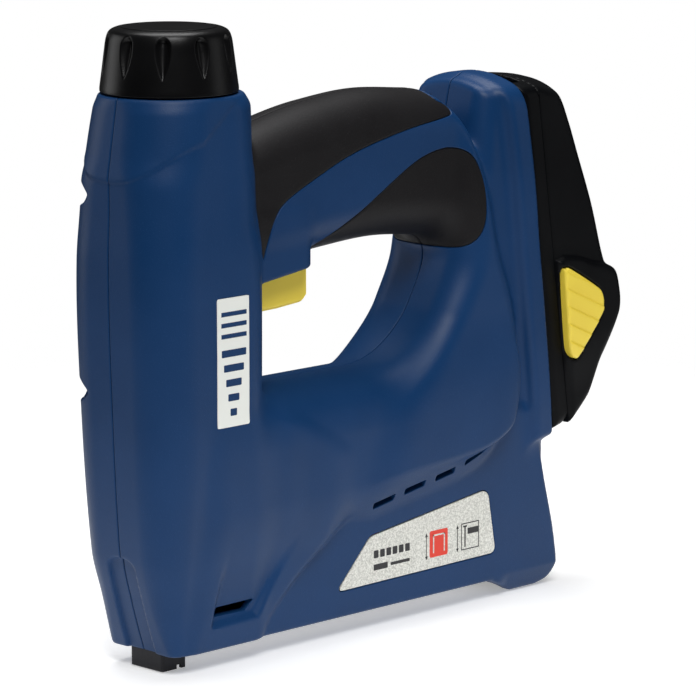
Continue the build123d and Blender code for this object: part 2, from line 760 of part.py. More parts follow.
# ---------------------------------------------------------------- magazine
SHEET = CHANNEL_T
LEGS = CHANNEL_HALF - CHANNEL_T
with BuildPart() as channel:
    with BuildSketch(Plane.YZ.offset(CHANNEL_START)):
        with Locations((0, (7.4 + CHANNEL_TOP) / 2)):
            Rectangle(2 * CHANNEL_HALF, CHANNEL_TOP - 7.4)
        with Locations((0, (6.0 + CHANNEL_TOP - SHEET) / 2)):
            Rectangle(2 * LEGS, CHANNEL_TOP - SHEET - 6.0, mode=Mode.SUBTRACT)
    extrude(amount=CHANNEL_END - 2.0 - CHANNEL_START)
save(channel.part, "magazine_channel")

RAIL_END = 164.0
RAIL_TOP = 18.4
with BuildPart() as rail:
    with BuildSketch(Plane.YZ.offset(-7.6)):
        with Locations((0, (7.3 + RAIL_TOP) / 2)):
            Rectangle(2 * CORE_HALF, RAIL_TOP - 7.3)
        with Locations((0, 7.9)):
            Rectangle(11.6, 1.2)
        with Locations((0, 12.7)):
            Rectangle(6.4, 8.4, mode=Mode.SUBTRACT)
    extrude(amount=RAIL_END + 7.6)
    with BuildSketch(Plane.XY.offset(15)):
        with Locations((75.0, 0)):
            Rectangle(154.0, 3.0)
    extrude(amount=6, mode=Mode.SUBTRACT)
save(rail.part, "magazine_rail")

with BuildPart() as pusher:
    with BuildSketch(Plane.YZ.offset(2.0)):
        with Locations((0, 14.2)):
            Rectangle(11.7, 10.8)
        with Locations((0, 13.2)):
            Rectangle(2 * CORE_HALF + 0.1, 10.5, mode=Mode.SUBTRACT)
        with Locations((0, 14.5)):
            Rectangle(2.4, 9.0)
        with Locations((0, 13.0)):
            Rectangle(6.0, 6.0)
    extrude(amount=12.0)
save(pusher.part, "staple_pusher")

# An upright coil turned to lie along the rail, behind the pusher
save(Pos(0, 0, 12.6) * Rot(0, 90, 0) * coil(2.2, 0.3, 14.1, 160.8, 36), "pusher_spring")

with BuildPart() as end_cap:
    with BuildSketch(Plane.XZ.offset(-8.9)) as side_view:
        with BuildLine():
            Polyline((RAIL_END, 3.0), (185.6, 3.0), (187.2, 8.0), (186.0, 21.6), (RAIL_END, 21.6), close=True)
        make_face()
    extrude(amount=17.8)
    fillet(end_cap.edges().filter_by(Axis.Y).filter_by_position(Axis.X, 180, 190), 1.5)
    with BuildSketch(Plane.XZ.offset(-20)):
        for level in (8.0, 11.0, 14.0):
            with Locations((187.4, level)):
                Circle(0.8)
    extrude(amount=40, mode=Mode.SUBTRACT)
    with BuildSketch(Plane.XY.offset(16.0)):
        with Locations((175.0, 0)):
            Rectangle(30.0, 7.0)
    extrude(amount=8, mode=Mode.SUBTRACT)
    with BuildSketch(Plane.XZ.offset(-20)):
        with Locations((176.0, 18.6)):
            Circle(1.25)
    extrude(amount=40, mode=Mode.SUBTRACT)
save(end_cap.part, "rail_end_cap")

with BuildPart() as latch:
    with BuildSketch(Plane.XZ.offset(-3.2)):
        with BuildLine():
            Polyline((165.0, 17.4), (176.0, 17.0), (185.4, 18.6), (185.4, 20.4), (176.0, 20.4))
            Polyline((176.0, 20.4), (168.0, 20.4), (165.0, 21.4), (165.0, 17.4))
        make_face()
    extrude(amount=6.4)
    with BuildSketch(Plane.XZ.offset(-8.8)):
        with Locations((176.0, 18.6)):
            Circle(1.2)
    extrude(amount=17.6)
save(latch.part, "rail_latch")

# ---------------------------------------------------------------- electrics in the rear column
save(dock_block(-19, 19, -32, 38, -19, -17.4), "control_board")

with BuildPart() as terminal_block:
    add(dock_block(-12, 12, -22, 22, -12, 3.0))
    add(dock_block(-15, 15, -22, 22, 2.9, 6.0))
    for y in (-8, 0, 8):
        add(dock_block(y - 0.4, y + 0.4, -7, 7, 3.0, 6.5), mode=Mode.SUBTRACT)
save(terminal_block.part, "terminal_block")

with BuildPart() as terminal_blades:
    for y in (-8, 0, 8):
        add(dock_block(y - 0.4, y + 0.4, -7, 7, 3.0, 11.0))
save(terminal_blades.part, "terminal_blades")

# ---------------------------------------------------------------- battery pack
# Outline on the dock plane's side view: (distance out of the dock, height along it)
PACK = [
    (0.3, 84.5),
    (11.8, 83.1),
    (21.0, 78.9),
    (26.2, 74.0),
    (29.8, 65.2),
    (33.4, 52.2),
    (38.9, 30.7),
    (42.2, 9.5),
    (44.0, 0.0),
    (44.6, -14.0),
    (36.5, -30.2),
    (17.7, -45.5),
    (6.1, -52.4),
    (0.3, -53.2),
]
COLLAR = [(9.3, 12.0), (30.0, 10.5), (44.0, 2.6), (48.9, 0.4), (49.0, -12.9), (46.5, -18.4), (36.5, -30.2), (9.3, -34.0)]
PACK_HALF, COLLAR_HALF = 22.5, 25.4
SPLIT = 9.0  # the pack's front frame ends this far from the dock
SIDE_VIEW = Plane(origin=DOCK_POINT, x_dir=OUT, z_dir=(0, -1, 0))


def pack_prism(points, half, inset, corner):
    """Extrudes a pack outline across the tool and rounds its long rear edges."""
    with BuildPart(mode=Mode.PRIVATE) as made:
        with BuildSketch(SIDE_VIEW.offset(-half + inset)) as outline:
            with BuildLine():
                Polyline(*points, close=True)
            make_face()
            if inset:
                offset(amount=-inset, mode=Mode.REPLACE)
        extrude(amount=2 * (half - inset))
        ends = made.faces().filter_by(Axis.Y)
        chamfer(ends.edges().filter_by(lambda e: (e.center() - Vector(DOCK_POINT)).dot(OUT) > 10), corner)
    return made.part


def pack_form(inset):
    return pack_prism(PACK, PACK_HALF, inset, 4.0) + pack_prism(COLLAR, COLLAR_HALF, inset, 3.0)


pack = pack_form(0.0)
pack_shell = pack - pack_form(2.2)
pack_shell = pack_shell + (pack & dock_block(-30, 30, -60, 90, 6.0, 11.6))
pocket = dock_block(-12.35, 12.35, -23, 90, 0, 6.5) + dock_block(-15.35, 15.35, -23, 90, 2.6, 6.5)
slots = [dock_block(y - 0.7, y + 0.7, -8, 42, 6, 12.2) for y in (-8, 0, 8)]
front = pack_shell & dock_block(-40, 40, -80, 100, 0, SPLIT)
rear = pack_shell & dock_block(-40, 40, -80, 100, SPLIT, 80)
front = front - pocket
for slot in slots:
    front = front - slot
    rear = rear - slot


def button_bar(y0, y1, inset):
    """The five-cornered release button, between two Y values."""
    with BuildPart(mode=Mode.PRIVATE) as made:
        with BuildSketch(SIDE_VIEW.offset(-y1)) as outline:
            with BuildLine():
                Polyline((11.5, 9.2), (28.3, -2.0), (31.6, -9.6), (14.5, -25.6), (11.5, -20.0), close=True)
            make_face()
            fillet(outline.vertices(), 2.0)
            if inset:
                offset(amount=-inset, mode=Mode.REPLACE)
        extrude(amount=y1 - y0)
    return made.part


rear = rear - button_bar(19.4, 40, 0) - button_bar(-40, -19.4, 0)
save(front.solids().sort_by(SortBy.VOLUME)[-1], "battery_front")
save(rear.solids().sort_by(SortBy.VOLUME)[-1], "battery_rear")

for name, side in (("left", -1), ("right", 1)):
    near, far = sorted((side * 22.0, side * 26.9))
    button = button_bar(near, far, FIT)
    near, far = sorted((side * 26.4, side * 28.0))
    for step in (-14.0, -10.4, -6.8, -3.2, 0.4):
        button = button - (button_bar(near, far, 0) & dock_block(-40, 40, step, step + 1.0, 15.5, 27.0))
    save(button.solids().sort_by(SortBy.VOLUME)[-1], f"release_{name}")

cell_plane = Plane(origin=Vector(DOCK_POINT) + OUT * 22.6, x_dir=(0, 1, 0), z_dir=-DOWN).offset(-18.0)
with BuildPart() as cells:
    with BuildSketch(cell_plane):
        with Locations((-9.5, 0), (9.5, 0)):
            Circle(9.1)
    extrude(amount=65.0)
save(cells.part, "battery_cells")
save(dock_block(-17, 17, -17, 28, 32.2, 33.6), "battery_board")
with BuildPart() as clips:
    for y in (-8, 0, 8):
        for edge in (-1, 1):
            near, far = sorted((y + edge * 0.45, y + edge * 0.68))
            add(dock_block(near, far, -7, 7, 6.6, 11.4))
save(clips.part, "battery_contacts")
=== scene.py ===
import json
import math

import bpy
import numpy as np
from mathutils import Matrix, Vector


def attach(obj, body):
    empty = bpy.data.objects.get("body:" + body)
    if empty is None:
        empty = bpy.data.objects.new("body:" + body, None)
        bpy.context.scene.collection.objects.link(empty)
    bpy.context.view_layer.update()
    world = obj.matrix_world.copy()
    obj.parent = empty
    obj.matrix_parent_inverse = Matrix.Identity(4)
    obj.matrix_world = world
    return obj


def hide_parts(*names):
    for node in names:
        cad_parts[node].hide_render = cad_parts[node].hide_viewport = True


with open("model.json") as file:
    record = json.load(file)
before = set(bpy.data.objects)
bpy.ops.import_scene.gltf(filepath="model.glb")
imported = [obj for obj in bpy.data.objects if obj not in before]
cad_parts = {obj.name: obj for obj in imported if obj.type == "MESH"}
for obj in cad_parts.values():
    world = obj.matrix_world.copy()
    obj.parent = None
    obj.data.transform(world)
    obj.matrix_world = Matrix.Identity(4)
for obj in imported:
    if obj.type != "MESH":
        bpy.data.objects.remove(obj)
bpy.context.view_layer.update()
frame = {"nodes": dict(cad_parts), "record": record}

MM = 0.001

# ------------------------------------------------------------------ small helpers


def smin(a, b, k):
    """The smaller of two distances, blended over a width k."""
    h = np.clip(0.5 + 0.5 * (b - a) / k, 0, 1)
    return b * (1 - h) + a * h - k * h * (1 - h)


def smax(a, b, k):
    return -smin(-a, -b, k)


def ease(t):
    t = np.clip(t, 0, 1)
    return t * t * (3 - 2 * t)


def steady(rows):
    """Columns of a table as smooth functions of its first column, without overshoot."""
    rows = np.array(rows, float)
    t, v = rows[:, 0], rows[:, 1:]
    step = np.diff(t)[:, None]
    slope = np.diff(v, axis=0) / step
    m = np.zeros_like(v)
    same = slope[1:] * slope[:-1] > 0
    with np.errstate(divide="ignore", invalid="ignore"):
        mean = 2 * slope[1:] * slope[:-1] / (slope[1:] + slope[:-1])
    m[1:-1] = np.where(same, mean, 0)
    m[0], m[-1] = slope[0], slope[-1]
    fine = np.linspace(t[0], t[-1], 400)
    i = np.clip(np.searchsorted(t, fine, side="right") - 1, 0, len(t) - 2)
    s = ((fine - t[i]) / np.diff(t)[i])[:, None]
    d = np.diff(t)[i][:, None]
    made = (
        (2 * s**3 - 3 * s**2 + 1) * v[i]
        + (s**3 - 2 * s**2 + s) * d * m[i]
        + (-2 * s**3 + 3 * s**2) * v[i + 1]
        + (s**3 - s**2) * d * m[i + 1]
    )
    return lambda x: [np.interp(x, fine, made[:, c]) for c in range(made.shape[1])]


def rounded(px, py, hx, hy, r):
    """Signed distance to a rectangle with rounded corners, from its centre."""
    qx, qy = np.abs(px) - (hx - r), np.abs(py) - (hy - r)
    return np.hypot(np.maximum(qx, 0), np.maximum(qy, 0)) + np.minimum(np.maximum(qx, qy), 0) - r


def curve(points, corners=(), per=6):
    """A closed outline through points: smooth, except at the points whose numbers are in corners."""
    p = np.array(points, float)
    n, out = len(p), []
    for i in range(n):
        a, b = p[i], p[(i + 1) % n]
        before = a if i in corners else p[i - 1]
        after = b if (i + 1) % n in corners else p[(i + 2) % n]
        ta = (b - before) / 2 if i not in corners else (b - a)
        tb = (after - a) / 2 if (i + 1) % n not in corners else (b - a)
        for s in np.arange(per) / per:
            out.append(
                (2 * s**3 - 3 * s**2 + 1) * a + (s**3 - 2 * s**2 + s) * ta
                + (-2 * s**3 + 3 * s**2) * b + (s**3 - s**2) * tb
            )
    return np.array(out)


def filleted(points):
    """A closed outline of straight runs; each point is (x, z, corner radius)."""
    out = []
    for i, (x, z, r) in enumerate(points):
        here = np.array((x, z), float)
        a = np.array(points[i - 1][:2], float) - here
        b = np.array(points[(i + 1) % len(points)][:2], float) - here
        a, b = a / np.linalg.norm(a), b / np.linalg.norm(b)
        half = math.acos(float(np.clip(a @ b, -1, 1))) / 2
        reach = r / math.tan(half)
        middle = here + (a + b) / np.linalg.norm(a + b) * r / math.sin(half)
        start, stop = here + a * reach - middle, here + b * reach - middle
        for s in np.linspace(0, 1, 7 if r > 0 else 1):
            way = start * (1 - s) + stop * s
            out.append(middle + way / max(np.linalg.norm(way), 1e-9) * r)
    return np.array(out)


def outline_distance(poly, x, z):
    """Signed distance in the XZ plane to a closed outline, negative inside."""
    x, z = np.broadcast_arrays(x, z)
    best = np.full(x.shape, 1e9)
    inside = np.zeros(x.shape, bool)
    for (ax, az), (bx, bz) in zip(poly, np.roll(poly, -1, 0)):
        ex, ez = bx - ax, bz - az
        wx, wz = x - ax, z - az
        t = np.clip((wx * ex + wz * ez) / max(ex * ex + ez * ez, 1e-9), 0, 1)
        best = np.minimum(best, (wx - t * ex) ** 2 + (wz - t * ez) ** 2)
        if ez != 0:
            hit = ((az > z) != (bz > z)) & (x < ax + (z - az) * ex / ez)
            inside ^= hit
    d = np.sqrt(best)
    return np.where(inside, -d, d)


class Outline:
    """Signed distance to a closed outline, looked up on a fine raster."""

    def __init__(self, poly, pad=30.0, step=0.5):
        self.poly, self.step = poly, step
        self.low = poly.min(0) - pad
        counts = np.ceil((poly.max(0) + pad - self.low) / step).astype(int) + 1
        x = self.low[0] + step * np.arange(counts[0])[:, None]
        z = self.low[1] + step * np.arange(counts[1])[None, :]
        self.grid = outline_distance(poly, x, z)

    def __call__(self, x, z):
        x, z = np.broadcast_arrays(x, z)
        u = np.clip((x - self.low[0]) / self.step, 0, self.grid.shape[0] - 1.001)
        w = np.clip((z - self.low[1]) / self.step, 0, self.grid.shape[1] - 1.001)
        i, j = u.astype(int), w.astype(int)
        a, b = u - i, w - j
        g = self.grid
        return (
            g[i, j] * (1 - a) * (1 - b) + g[i + 1, j] * a * (1 - b) + g[i, j + 1] * (1 - a) * b
            + g[i + 1, j + 1] * a * b
        )


# ------------------------------------------------------------------ form of the shells, in mm
COLUMN = steady([
    (5, -15.8, 30, 17.5, 4), (7, -16.1, 30, 17.8, 4), (16, -18.9, 30, 19.3, 7),
    (26, -21.8, 30, 20.8, 10), (43, -25.8, 30, 23.6, 13), (94, -28.8, 30, 27.4, 17),
    (140, -30.1, 30, 28, 17.4), (178, -30, 30, 27.4, 20), (190, -28.4, 29.4, 26.9, 22.5),
    (204, -26.1, 29.6, 25.9, 22.4), (209.5, -25.2, 27, 25.2, 24.4), (214, -24.4, 24.6, 24.4, 24.3),
])
FOOT = steady([
    (5, -10, 26, 17.5, 4), (7, -10, 27, 17.8, 4), (26, -10, 47, 20.6, 9), (45, -10, 66, 22.6, 10),
    (70, -10, 66, 23.2, 10), (90, -10, 40, 22, 10),
])
HANDLE = steady([
    (5, 142, 184, 15.5, 13), (42, 143.5, 196, 17.2, 15), (68, 146.2, 201, 17.8, 16),
    (95, 147.6, 203.2, 18, 16.5), (122, 145.5, 201.2, 18, 16.5), (150, 138, 198.5, 18, 16),
    (160, 136, 197, 18, 16),
])
REAR = steady([
    (40, 90, 17.5, 8), (60, 94, 20.5, 9), (75, 99.5, 22.6, 10), (100, 110.8, 23.6, 12),
    (118, 122.6, 24.3, 13), (136, 131.3, 24.8, 13.5), (165, 135.5, 25.2, 13.5), (190, 138.8, 24.8, 13),
    (206, 142.5, 23, 10),
])
FLANGE = steady([
    (55, 21.4), (63.4, 22), (76, 23), (96, 23.8), (116, 24.2), (136, 24.5), (164, 25.3), (181, 25),
    (193, 24.6), (206, 24.3),
])
CREASE = Outline(curve(
    [
        (-60, -20), (8, -20), (23, -5), (37.4, 7.8), (49.7, 18.9), (62.0, 30.0), (69.0, 36.6),
        (77, 41.0), (94.7, 44.6), (112.2, 47.4), (131.4, 50.6), (145, 55.0), (154.2, 63.4),
        (160.8, 79.0), (161.8, 97.7), (158.0, 117.7), (150.0, 138), (145.0, 157.8), (141.0, 177.4),
        (136.0, 190), (129, 201), (122, 215), (100, 232), (-60, 232),
    ],
    corners=(0, 1, 23),
))
SIDE = Outline(curve(
    [
        (-4, 7), (153, 7), (158.5, 4.6), (163.8, 2.2), (168, 0), (182, 0), (188.2, 2.2), (190.2, 8.6),
        (188.1, 22), (183.5, 40), (179.0, 56.2), (177.6, 58.8), (181.8, 66.5), (150, 80), (-4, 80),
    ],
    corners=(0, 1, 4, 5, 11, 12, 13, 14),
))
POCKET = Outline(
    np.array([(-0.8, 15.4), (23.0, 16.0), (24.2, 17.2), (46.0, 48.0), (3.0, 48.0)], float), pad=70, step=0.4
)
UPPER_GRIP = Outline(curve(
    [
        (25.6, 212), (25.6, 190), (26.6, 166), (30.6, 146.8), (34.4, 158.8), (40.4, 166.6),
        (55.8, 174.3), (76.6, 182.3), (103.1, 188.2), (124.8, 191.0), (130.6, 192.4), (130.4, 195.4),
        (125.3, 198.7), (120, 212),
    ],
    corners=(0, 3, 13),
), step=0.25)
LOWER_GRIP = Outline(curve(
    [
        (60.2, 148.4), (70.9, 154.9), (89.4, 165.6), (105.4, 174.4), (116.2, 178.4), (127.4, 179.6),
        (136.4, 176.6), (141.2, 167.8), (142.0, 157.6), (139.8, 146.6), (133.6, 140.9), (124, 140.0),
        (112, 140.2), (108, 130), (58, 130),
    ],
    corners=(0, 12, 13, 14),
), step=0.25)
DOCK_X, DOCK_Z, LEAN = 174.8, 116.1, 0.1456
NORM = math.sqrt(1 + LEAN * LEAN)
COLUMN_TOP = 209.5
CREASE_SLOPE, CREASE_Y = 1.9, 18.2


def out_of_dock(x, z):
    """Distance out of the leaning face that carries the battery."""
    return ((x - DOCK_X) + (z - DOCK_Z) * LEAN) / NORM


def up_dock(x, z):
    """Distance along that face, upwards from its middle."""
    return ((z - DOCK_Z) - (x - DOCK_X) * LEAN) / NORM


def loft_z(rows, x, y, z, back=None):
    """Signed distance to a body whose level sections come from a table; back replaces its rear face."""
    if back is None:
        front, rear, half, r = rows(z)
    else:
        front, half, r = rows(z)
        rear = back
    return rounded(x - (front + rear) / 2, y, (rear - front) / 2, half, r)


def shell_form(x, y, z):
    """Signed distance to the outer form of both shells together; y may have either sign."""
    y = np.abs(y)
    column = smax(loft_z(COLUMN, x, y, z), z - COLUMN_TOP, 1.0)
    # Chamfered rear corners, wider above the trigger
    column = smax(column, 0.7071 * (x + y) - (35 - 3.7 * ease((z - 150) / 14)), 6)
    foot = smax(loft_z(FOOT, x, y, z), z - 88, 6.0)
    low, high, half, r = HANDLE(x)
    handle = rounded(y, z - (low + high) / 2, half, (high - low) / 2, r)
    handle = np.maximum(handle, np.maximum(4 - x, x - 158))
    boss_low = 138.6 + 0.13 * (x - 31)
    boss = smax(smax(rounded(x - 36, y, 22.5, 16.6, 7), boss_low - z, 1.0), z - 164, 3)
    handle = smin(handle, boss, 2.5)
    back = DOCK_X + (DOCK_Z - z) * LEAN + 12
    rear = smax(loft_z(REAR, x, y, z, back), z - (204.4 - 0.011 * y * y), 2.5)
    rear = smax(rear, 44 - z, 6)
    bar = smax(rounded(y, z - 68.5, 24, 30.5, 21), np.maximum(2 - x, x - 150), 6)
    body = smin(column, foot, 6)
    body = smin(body, handle, 2.5 + 4 * ease((x - 60) / 20))
    body = smin(body, smin(bar, rear, 22), 10)
    body = smax(body, y - (26.1 + 2.9 * ease((46 - x) / 20)), 3)
    lean = ease((72 - z) / 16)
    tilt = CREASE_SLOPE * lean
    crease = (CREASE(x, z) + tilt * (y - CREASE_Y)) / np.sqrt(1 + tilt**2)
    body = smax(body, crease, 2.2 + 3.6 * ease((z - 84) / 22))
    bed = smax(loft_z(REAR, x, y, z, back) + 4.6, z - (203.2 - 0.012 * y * y), 3)
    bed = smax(bed, 46 - z, 4)
    out = out_of_dock(x, z)
    (wide,) = FLANGE(z)
    rim = smax(y - wide, z - (204.3 - 0.011 * y * y), 7)
    rim = smax(rim, -9.5 - out, 3)
    rim = smax(rim, 61.5 + 0.15 * (x - 180) - z, 2)
    side = SIDE(x, z)
    taper = np.clip((9 - z) / 9, 0, 1)
    flank = smax(side, y - (18.3 - 4.6 * taper * ease((x - 155) / 8)), 1.8)
    lower = smin(smin(bed, rim, 5), flank, 5)
    made = smin(body, lower, 0.7 + 3.8 * ease((z - 92) / 20))
    made = smax(made, out, 1.2)
    # Soft step that sweeps round the column under the knob
    sweep = z - (179.8 + 15 * np.clip(y / 27, 0, 1) ** 2.6 + 0.9 * np.clip(x + 8, 0, 30))
    made = made + 0.6 * ease(-sweep / 1.2 + 0.5) * ease((14 - x) / 14) * ease((z - 150) / 20)
    # Shallow channels beside the seam at the nose
    channel = smax(y - (7.4 - 0.01 * z), z - 43, 6)
    made = np.where(x < 0, smin(smax(made, -channel, 0.8), made + 1.4, 0.8), made)
    # Recess round the staple window, deepest at its lower end
    pocket = np.clip(-POCKET(x, z) / 2.9, 0, 1) * np.where(y > 12, 1, 0)
    made = made + 2.7 * pocket * (1 - ease((z - 20) / 27))
    return smax(made, 6.9 - 8 * ease((x - 150) / 12) - z, 1.2)


# ------------------------------------------------------------------ skins: meshing and cutting


def surface(form, lo, hi, h):
    """Triangles of a form's surface on a grid, moved onto the surface afterwards."""
    axes = [np.arange(a, b + h, h) for a, b in zip(lo, hi)]
    x, y, z = axes[0][:, None, None], axes[1][None, :, None], axes[2][None, None, :]
    f = np.broadcast_to(form(x, y, z), tuple(len(a) for a in axes)).astype(np.float32)
    f = np.where(np.abs(f) < 1e-6, 1e-6, f)
    nx, ny, nz = f.shape
    total = np.zeros((nx - 1, ny - 1, nz - 1, 3), np.float32)
    count = np.zeros((nx - 1, ny - 1, nz - 1), np.float32)
    for axis in range(3):
        o1, o2 = [a for a in range(3) if a != axis]
        for s1 in (0, 1):
            for s2 in (0, 1):
                a = [slice(None)] * 3
                b = [slice(None)] * 3
                a[axis], b[axis] = slice(0, -1), slice(1, None)
                for o, s in ((o1, s1), (o2, s2)):
                    a[o] = b[o] = slice(s, f.shape[o] - 1 + s)
                fa, fb = f[tuple(a)], f[tuple(b)]
                hit = (fa < 0) != (fb < 0)
                t = np.where(hit, fa / np.where(hit, fa - fb, 1), 0)
                add = np.zeros(hit.shape + (3,), np.float32)
                add[..., axis], add[..., o1], add[..., o2] = t, s1, s2
                total += np.where(hit[..., None], add, 0)
                count += hit
    cells = count > 0
    number = np.full(cells.shape, -1, np.int64)
    number[cells] = np.arange(cells.sum())
    place = np.argwhere(cells) + total[cells] / count[cells][:, None]
    verts = np.array([a[0] for a in axes]) + place * h
    tris = []
    for axis in range(3):
        o1, o2 = [(1, 2), (2, 0), (0, 1)][axis]
        a = [slice(None)] * 3
        b = [slice(None)] * 3
        a[axis], b[axis] = slice(0, -1), slice(1, None)
        for o in (o1, o2):
            a[o] = b[o] = slice(1, -1)
        fa, fb = f[tuple(a)] < 0, f[tuple(b)] < 0
        corner = []
        for d1, d2 in ((0, 0), (1, 0), (1, 1), (0, 1)):
            c = [slice(None)] * 3
            c[o1] = slice(d1, d1 + f.shape[o1] - 2)
            c[o2] = slice(d2, d2 + f.shape[o2] - 2)
            corner.append(number[tuple(c)])
        for inward, order in ((fa & ~fb, (0, 1, 2, 3)), (~fa & fb, (3, 2, 1, 0))):
            q = np.stack([corner[i][inward] for i in order], 1)
            tris += [q[:, [0, 1, 2]], q[:, [0, 2, 3]]]
    tris = np.concatenate(tris)
    for _ in range(3):
        d, g = slope(form, verts)
        verts = verts - np.clip(d, -0.5 * h, 0.5 * h)[:, None] * g
    return verts, tris


def slope(form, v, eps=0.05):
    """Distance and unit direction away from a form at some points."""
    d = form(v[:, 0], v[:, 1], v[:, 2])
    g = np.empty_like(v)
    for a in range(3):
        p, m = v.copy(), v.copy()
        p[:, a] += eps
        m[:, a] -= eps
        g[:, a] = (form(*p.T) - form(*m.T)) / (2 * eps)
    size = np.linalg.norm(g, axis=1)
    return d / np.maximum(size, 0.3), g / np.maximum(size, 1e-6)[:, None]


def cut(v, t, field, snap=0.04):
    """Splits the triangles that a field's zero line crosses."""
    f = field(v)
    f = np.where(np.abs(f) < snap, 0, f)
    s = np.sign(f)
    st = s[t]
    crossed = (st.min(1) < 0) & (st.max(1) > 0)
    if not crossed.any():
        return v, t
    kept, work = t[~crossed], t[crossed]
    edges = np.sort(np.stack([work, np.roll(work, -1, 1)], 2).reshape(-1, 2), 1)
    hit = s[edges[:, 0]] * s[edges[:, 1]] < 0
    keys, back = np.unique(edges[hit], axis=0, return_inverse=True)
    f0, f1 = f[keys[:, 0]], f[keys[:, 1]]
    w = (f0 / (f0 - f1))[:, None]
    new = v[keys[:, 0]] * (1 - w) + v[keys[:, 1]] * w
    mid = np.full(len(edges), -1)
    mid[hit] = len(v) + back.ravel()
    mid = mid.reshape(-1, 3)
    two = (mid >= 0).sum(1) == 2
    made = [kept]
    a, m = work[two], mid[two]
    empty = np.argmin(m, 1)  # the edge without a crossing lies opposite the lone corner
    r = (empty + 2) % 3
    rows = np.arange(len(a))
    p0, p1, p2 = a[rows, r], a[rows, (r + 1) % 3], a[rows, (r + 2) % 3]
    m01, m20 = m[rows, r], m[rows, (r + 2) % 3]
    made += [np.stack(c, 1) for c in ((p0, m01, m20), (m01, p1, p2), (m01, p2, m20))]
    a, m = work[~two], mid[~two]
    e = np.argmax(m, 1)
    rows = np.arange(len(a))
    p0, p1, p2 = a[rows, (e + 2) % 3], a[rows, e], a[rows, (e + 1) % 3]
    mm = m[rows, e]
    made += [np.stack(c, 1) for c in ((p0, p1, mm), (p0, mm, p2))]
    return np.concatenate([v, new]), np.concatenate(made)


def keep(v, t, field):
    """Cuts along a field's zero line and keeps the side where it is negative."""
    v, t = cut(v, t, field)
    f = field(v)
    f = np.where(np.abs(f) < 0.04, 0, f)
    return packed(v, t[f[t].mean(1) < 0])


def packed(v, t):
    """Leaves out the points that no triangle uses."""
    used = np.unique(t)
    number = np.full(len(v), -1)
    number[used] = np.arange(len(used))
    return v[used], number[t]


def edge_line(t):
    """Directed edges that belong to one triangle only."""
    e = np.stack([t, np.roll(t, -1, 1)], 2).reshape(-1, 2)
    key = np.sort(e, 1)
    order = np.lexsort((key[:, 1], key[:, 0]))
    k = key[order]
    same = np.zeros(len(k), bool)
    same[1:] |= (k[1:] == k[:-1]).all(1)
    same[:-1] |= (k[1:] == k[:-1]).all(1)
    return e[order[~same]]


def rounded_edge(v, n, field, width, drop):
    """Lowers the skin next to a cut line, so that the edge catches light like a moulded one."""
    d = np.clip(1 + field(v) / width, 0, 1)
    return v - n * (drop * (1 - np.sqrt(np.clip(1 - d * d, 0, 1))))[:, None]


def walls(v, t, n, depth, where=None):
    """Walls that run inwards from the open edges of a skin."""
    e = edge_line(t)
    if where is not None:
        e = e[where(v[e].mean(1))]
    ids, back = np.unique(e, return_inverse=True)
    back = back.reshape(e.shape)
    top, low = v[ids], v[ids] - n[ids] * depth
    base = len(v)
    a, b = base + back[:, 0], base + back[:, 1]
    c, d = b + len(ids), a + len(ids)
    more = np.concatenate([np.stack([b, a, d], 1), np.stack([b, d, c], 1)])
    return np.concatenate([v, top, low]), np.concatenate([t, more])


def mesh_object(name, v, t, material, body, nodes, sharp):
    """A piece in millimetres that rides on a body and stands for the named CAD nodes."""
    data = bpy.data.meshes.new(name)
    v = np.ascontiguousarray(v * MM, np.float32)
    t = np.ascontiguousarray(t, np.int32)
    data.vertices.add(len(v))
    data.vertices.foreach_set("co", v.ravel())
    data.loops.add(t.size)
    data.loops.foreach_set("vertex_index", t.ravel())
    data.polygons.add(len(t))
    data.polygons.foreach_set("loop_start", np.arange(0, t.size, 3, dtype=np.int32))
    data.update(calc_edges=True)
    data.polygons.foreach_set("use_smooth", np.full(len(t), True))
    data.set_sharp_from_angle(angle=math.radians(sharp))
    data.materials.append(material)
    data.validate()
    made = bpy.data.objects.new(name, data)
    bpy.context.scene.collection.objects.link(made)
    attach(made, body)
    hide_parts(*nodes)
    return made


def mirror(v, t):
    return v * np.array([1, -1, 1]), t[:, ::-1]


# ------------------------------------------------------------------ materials


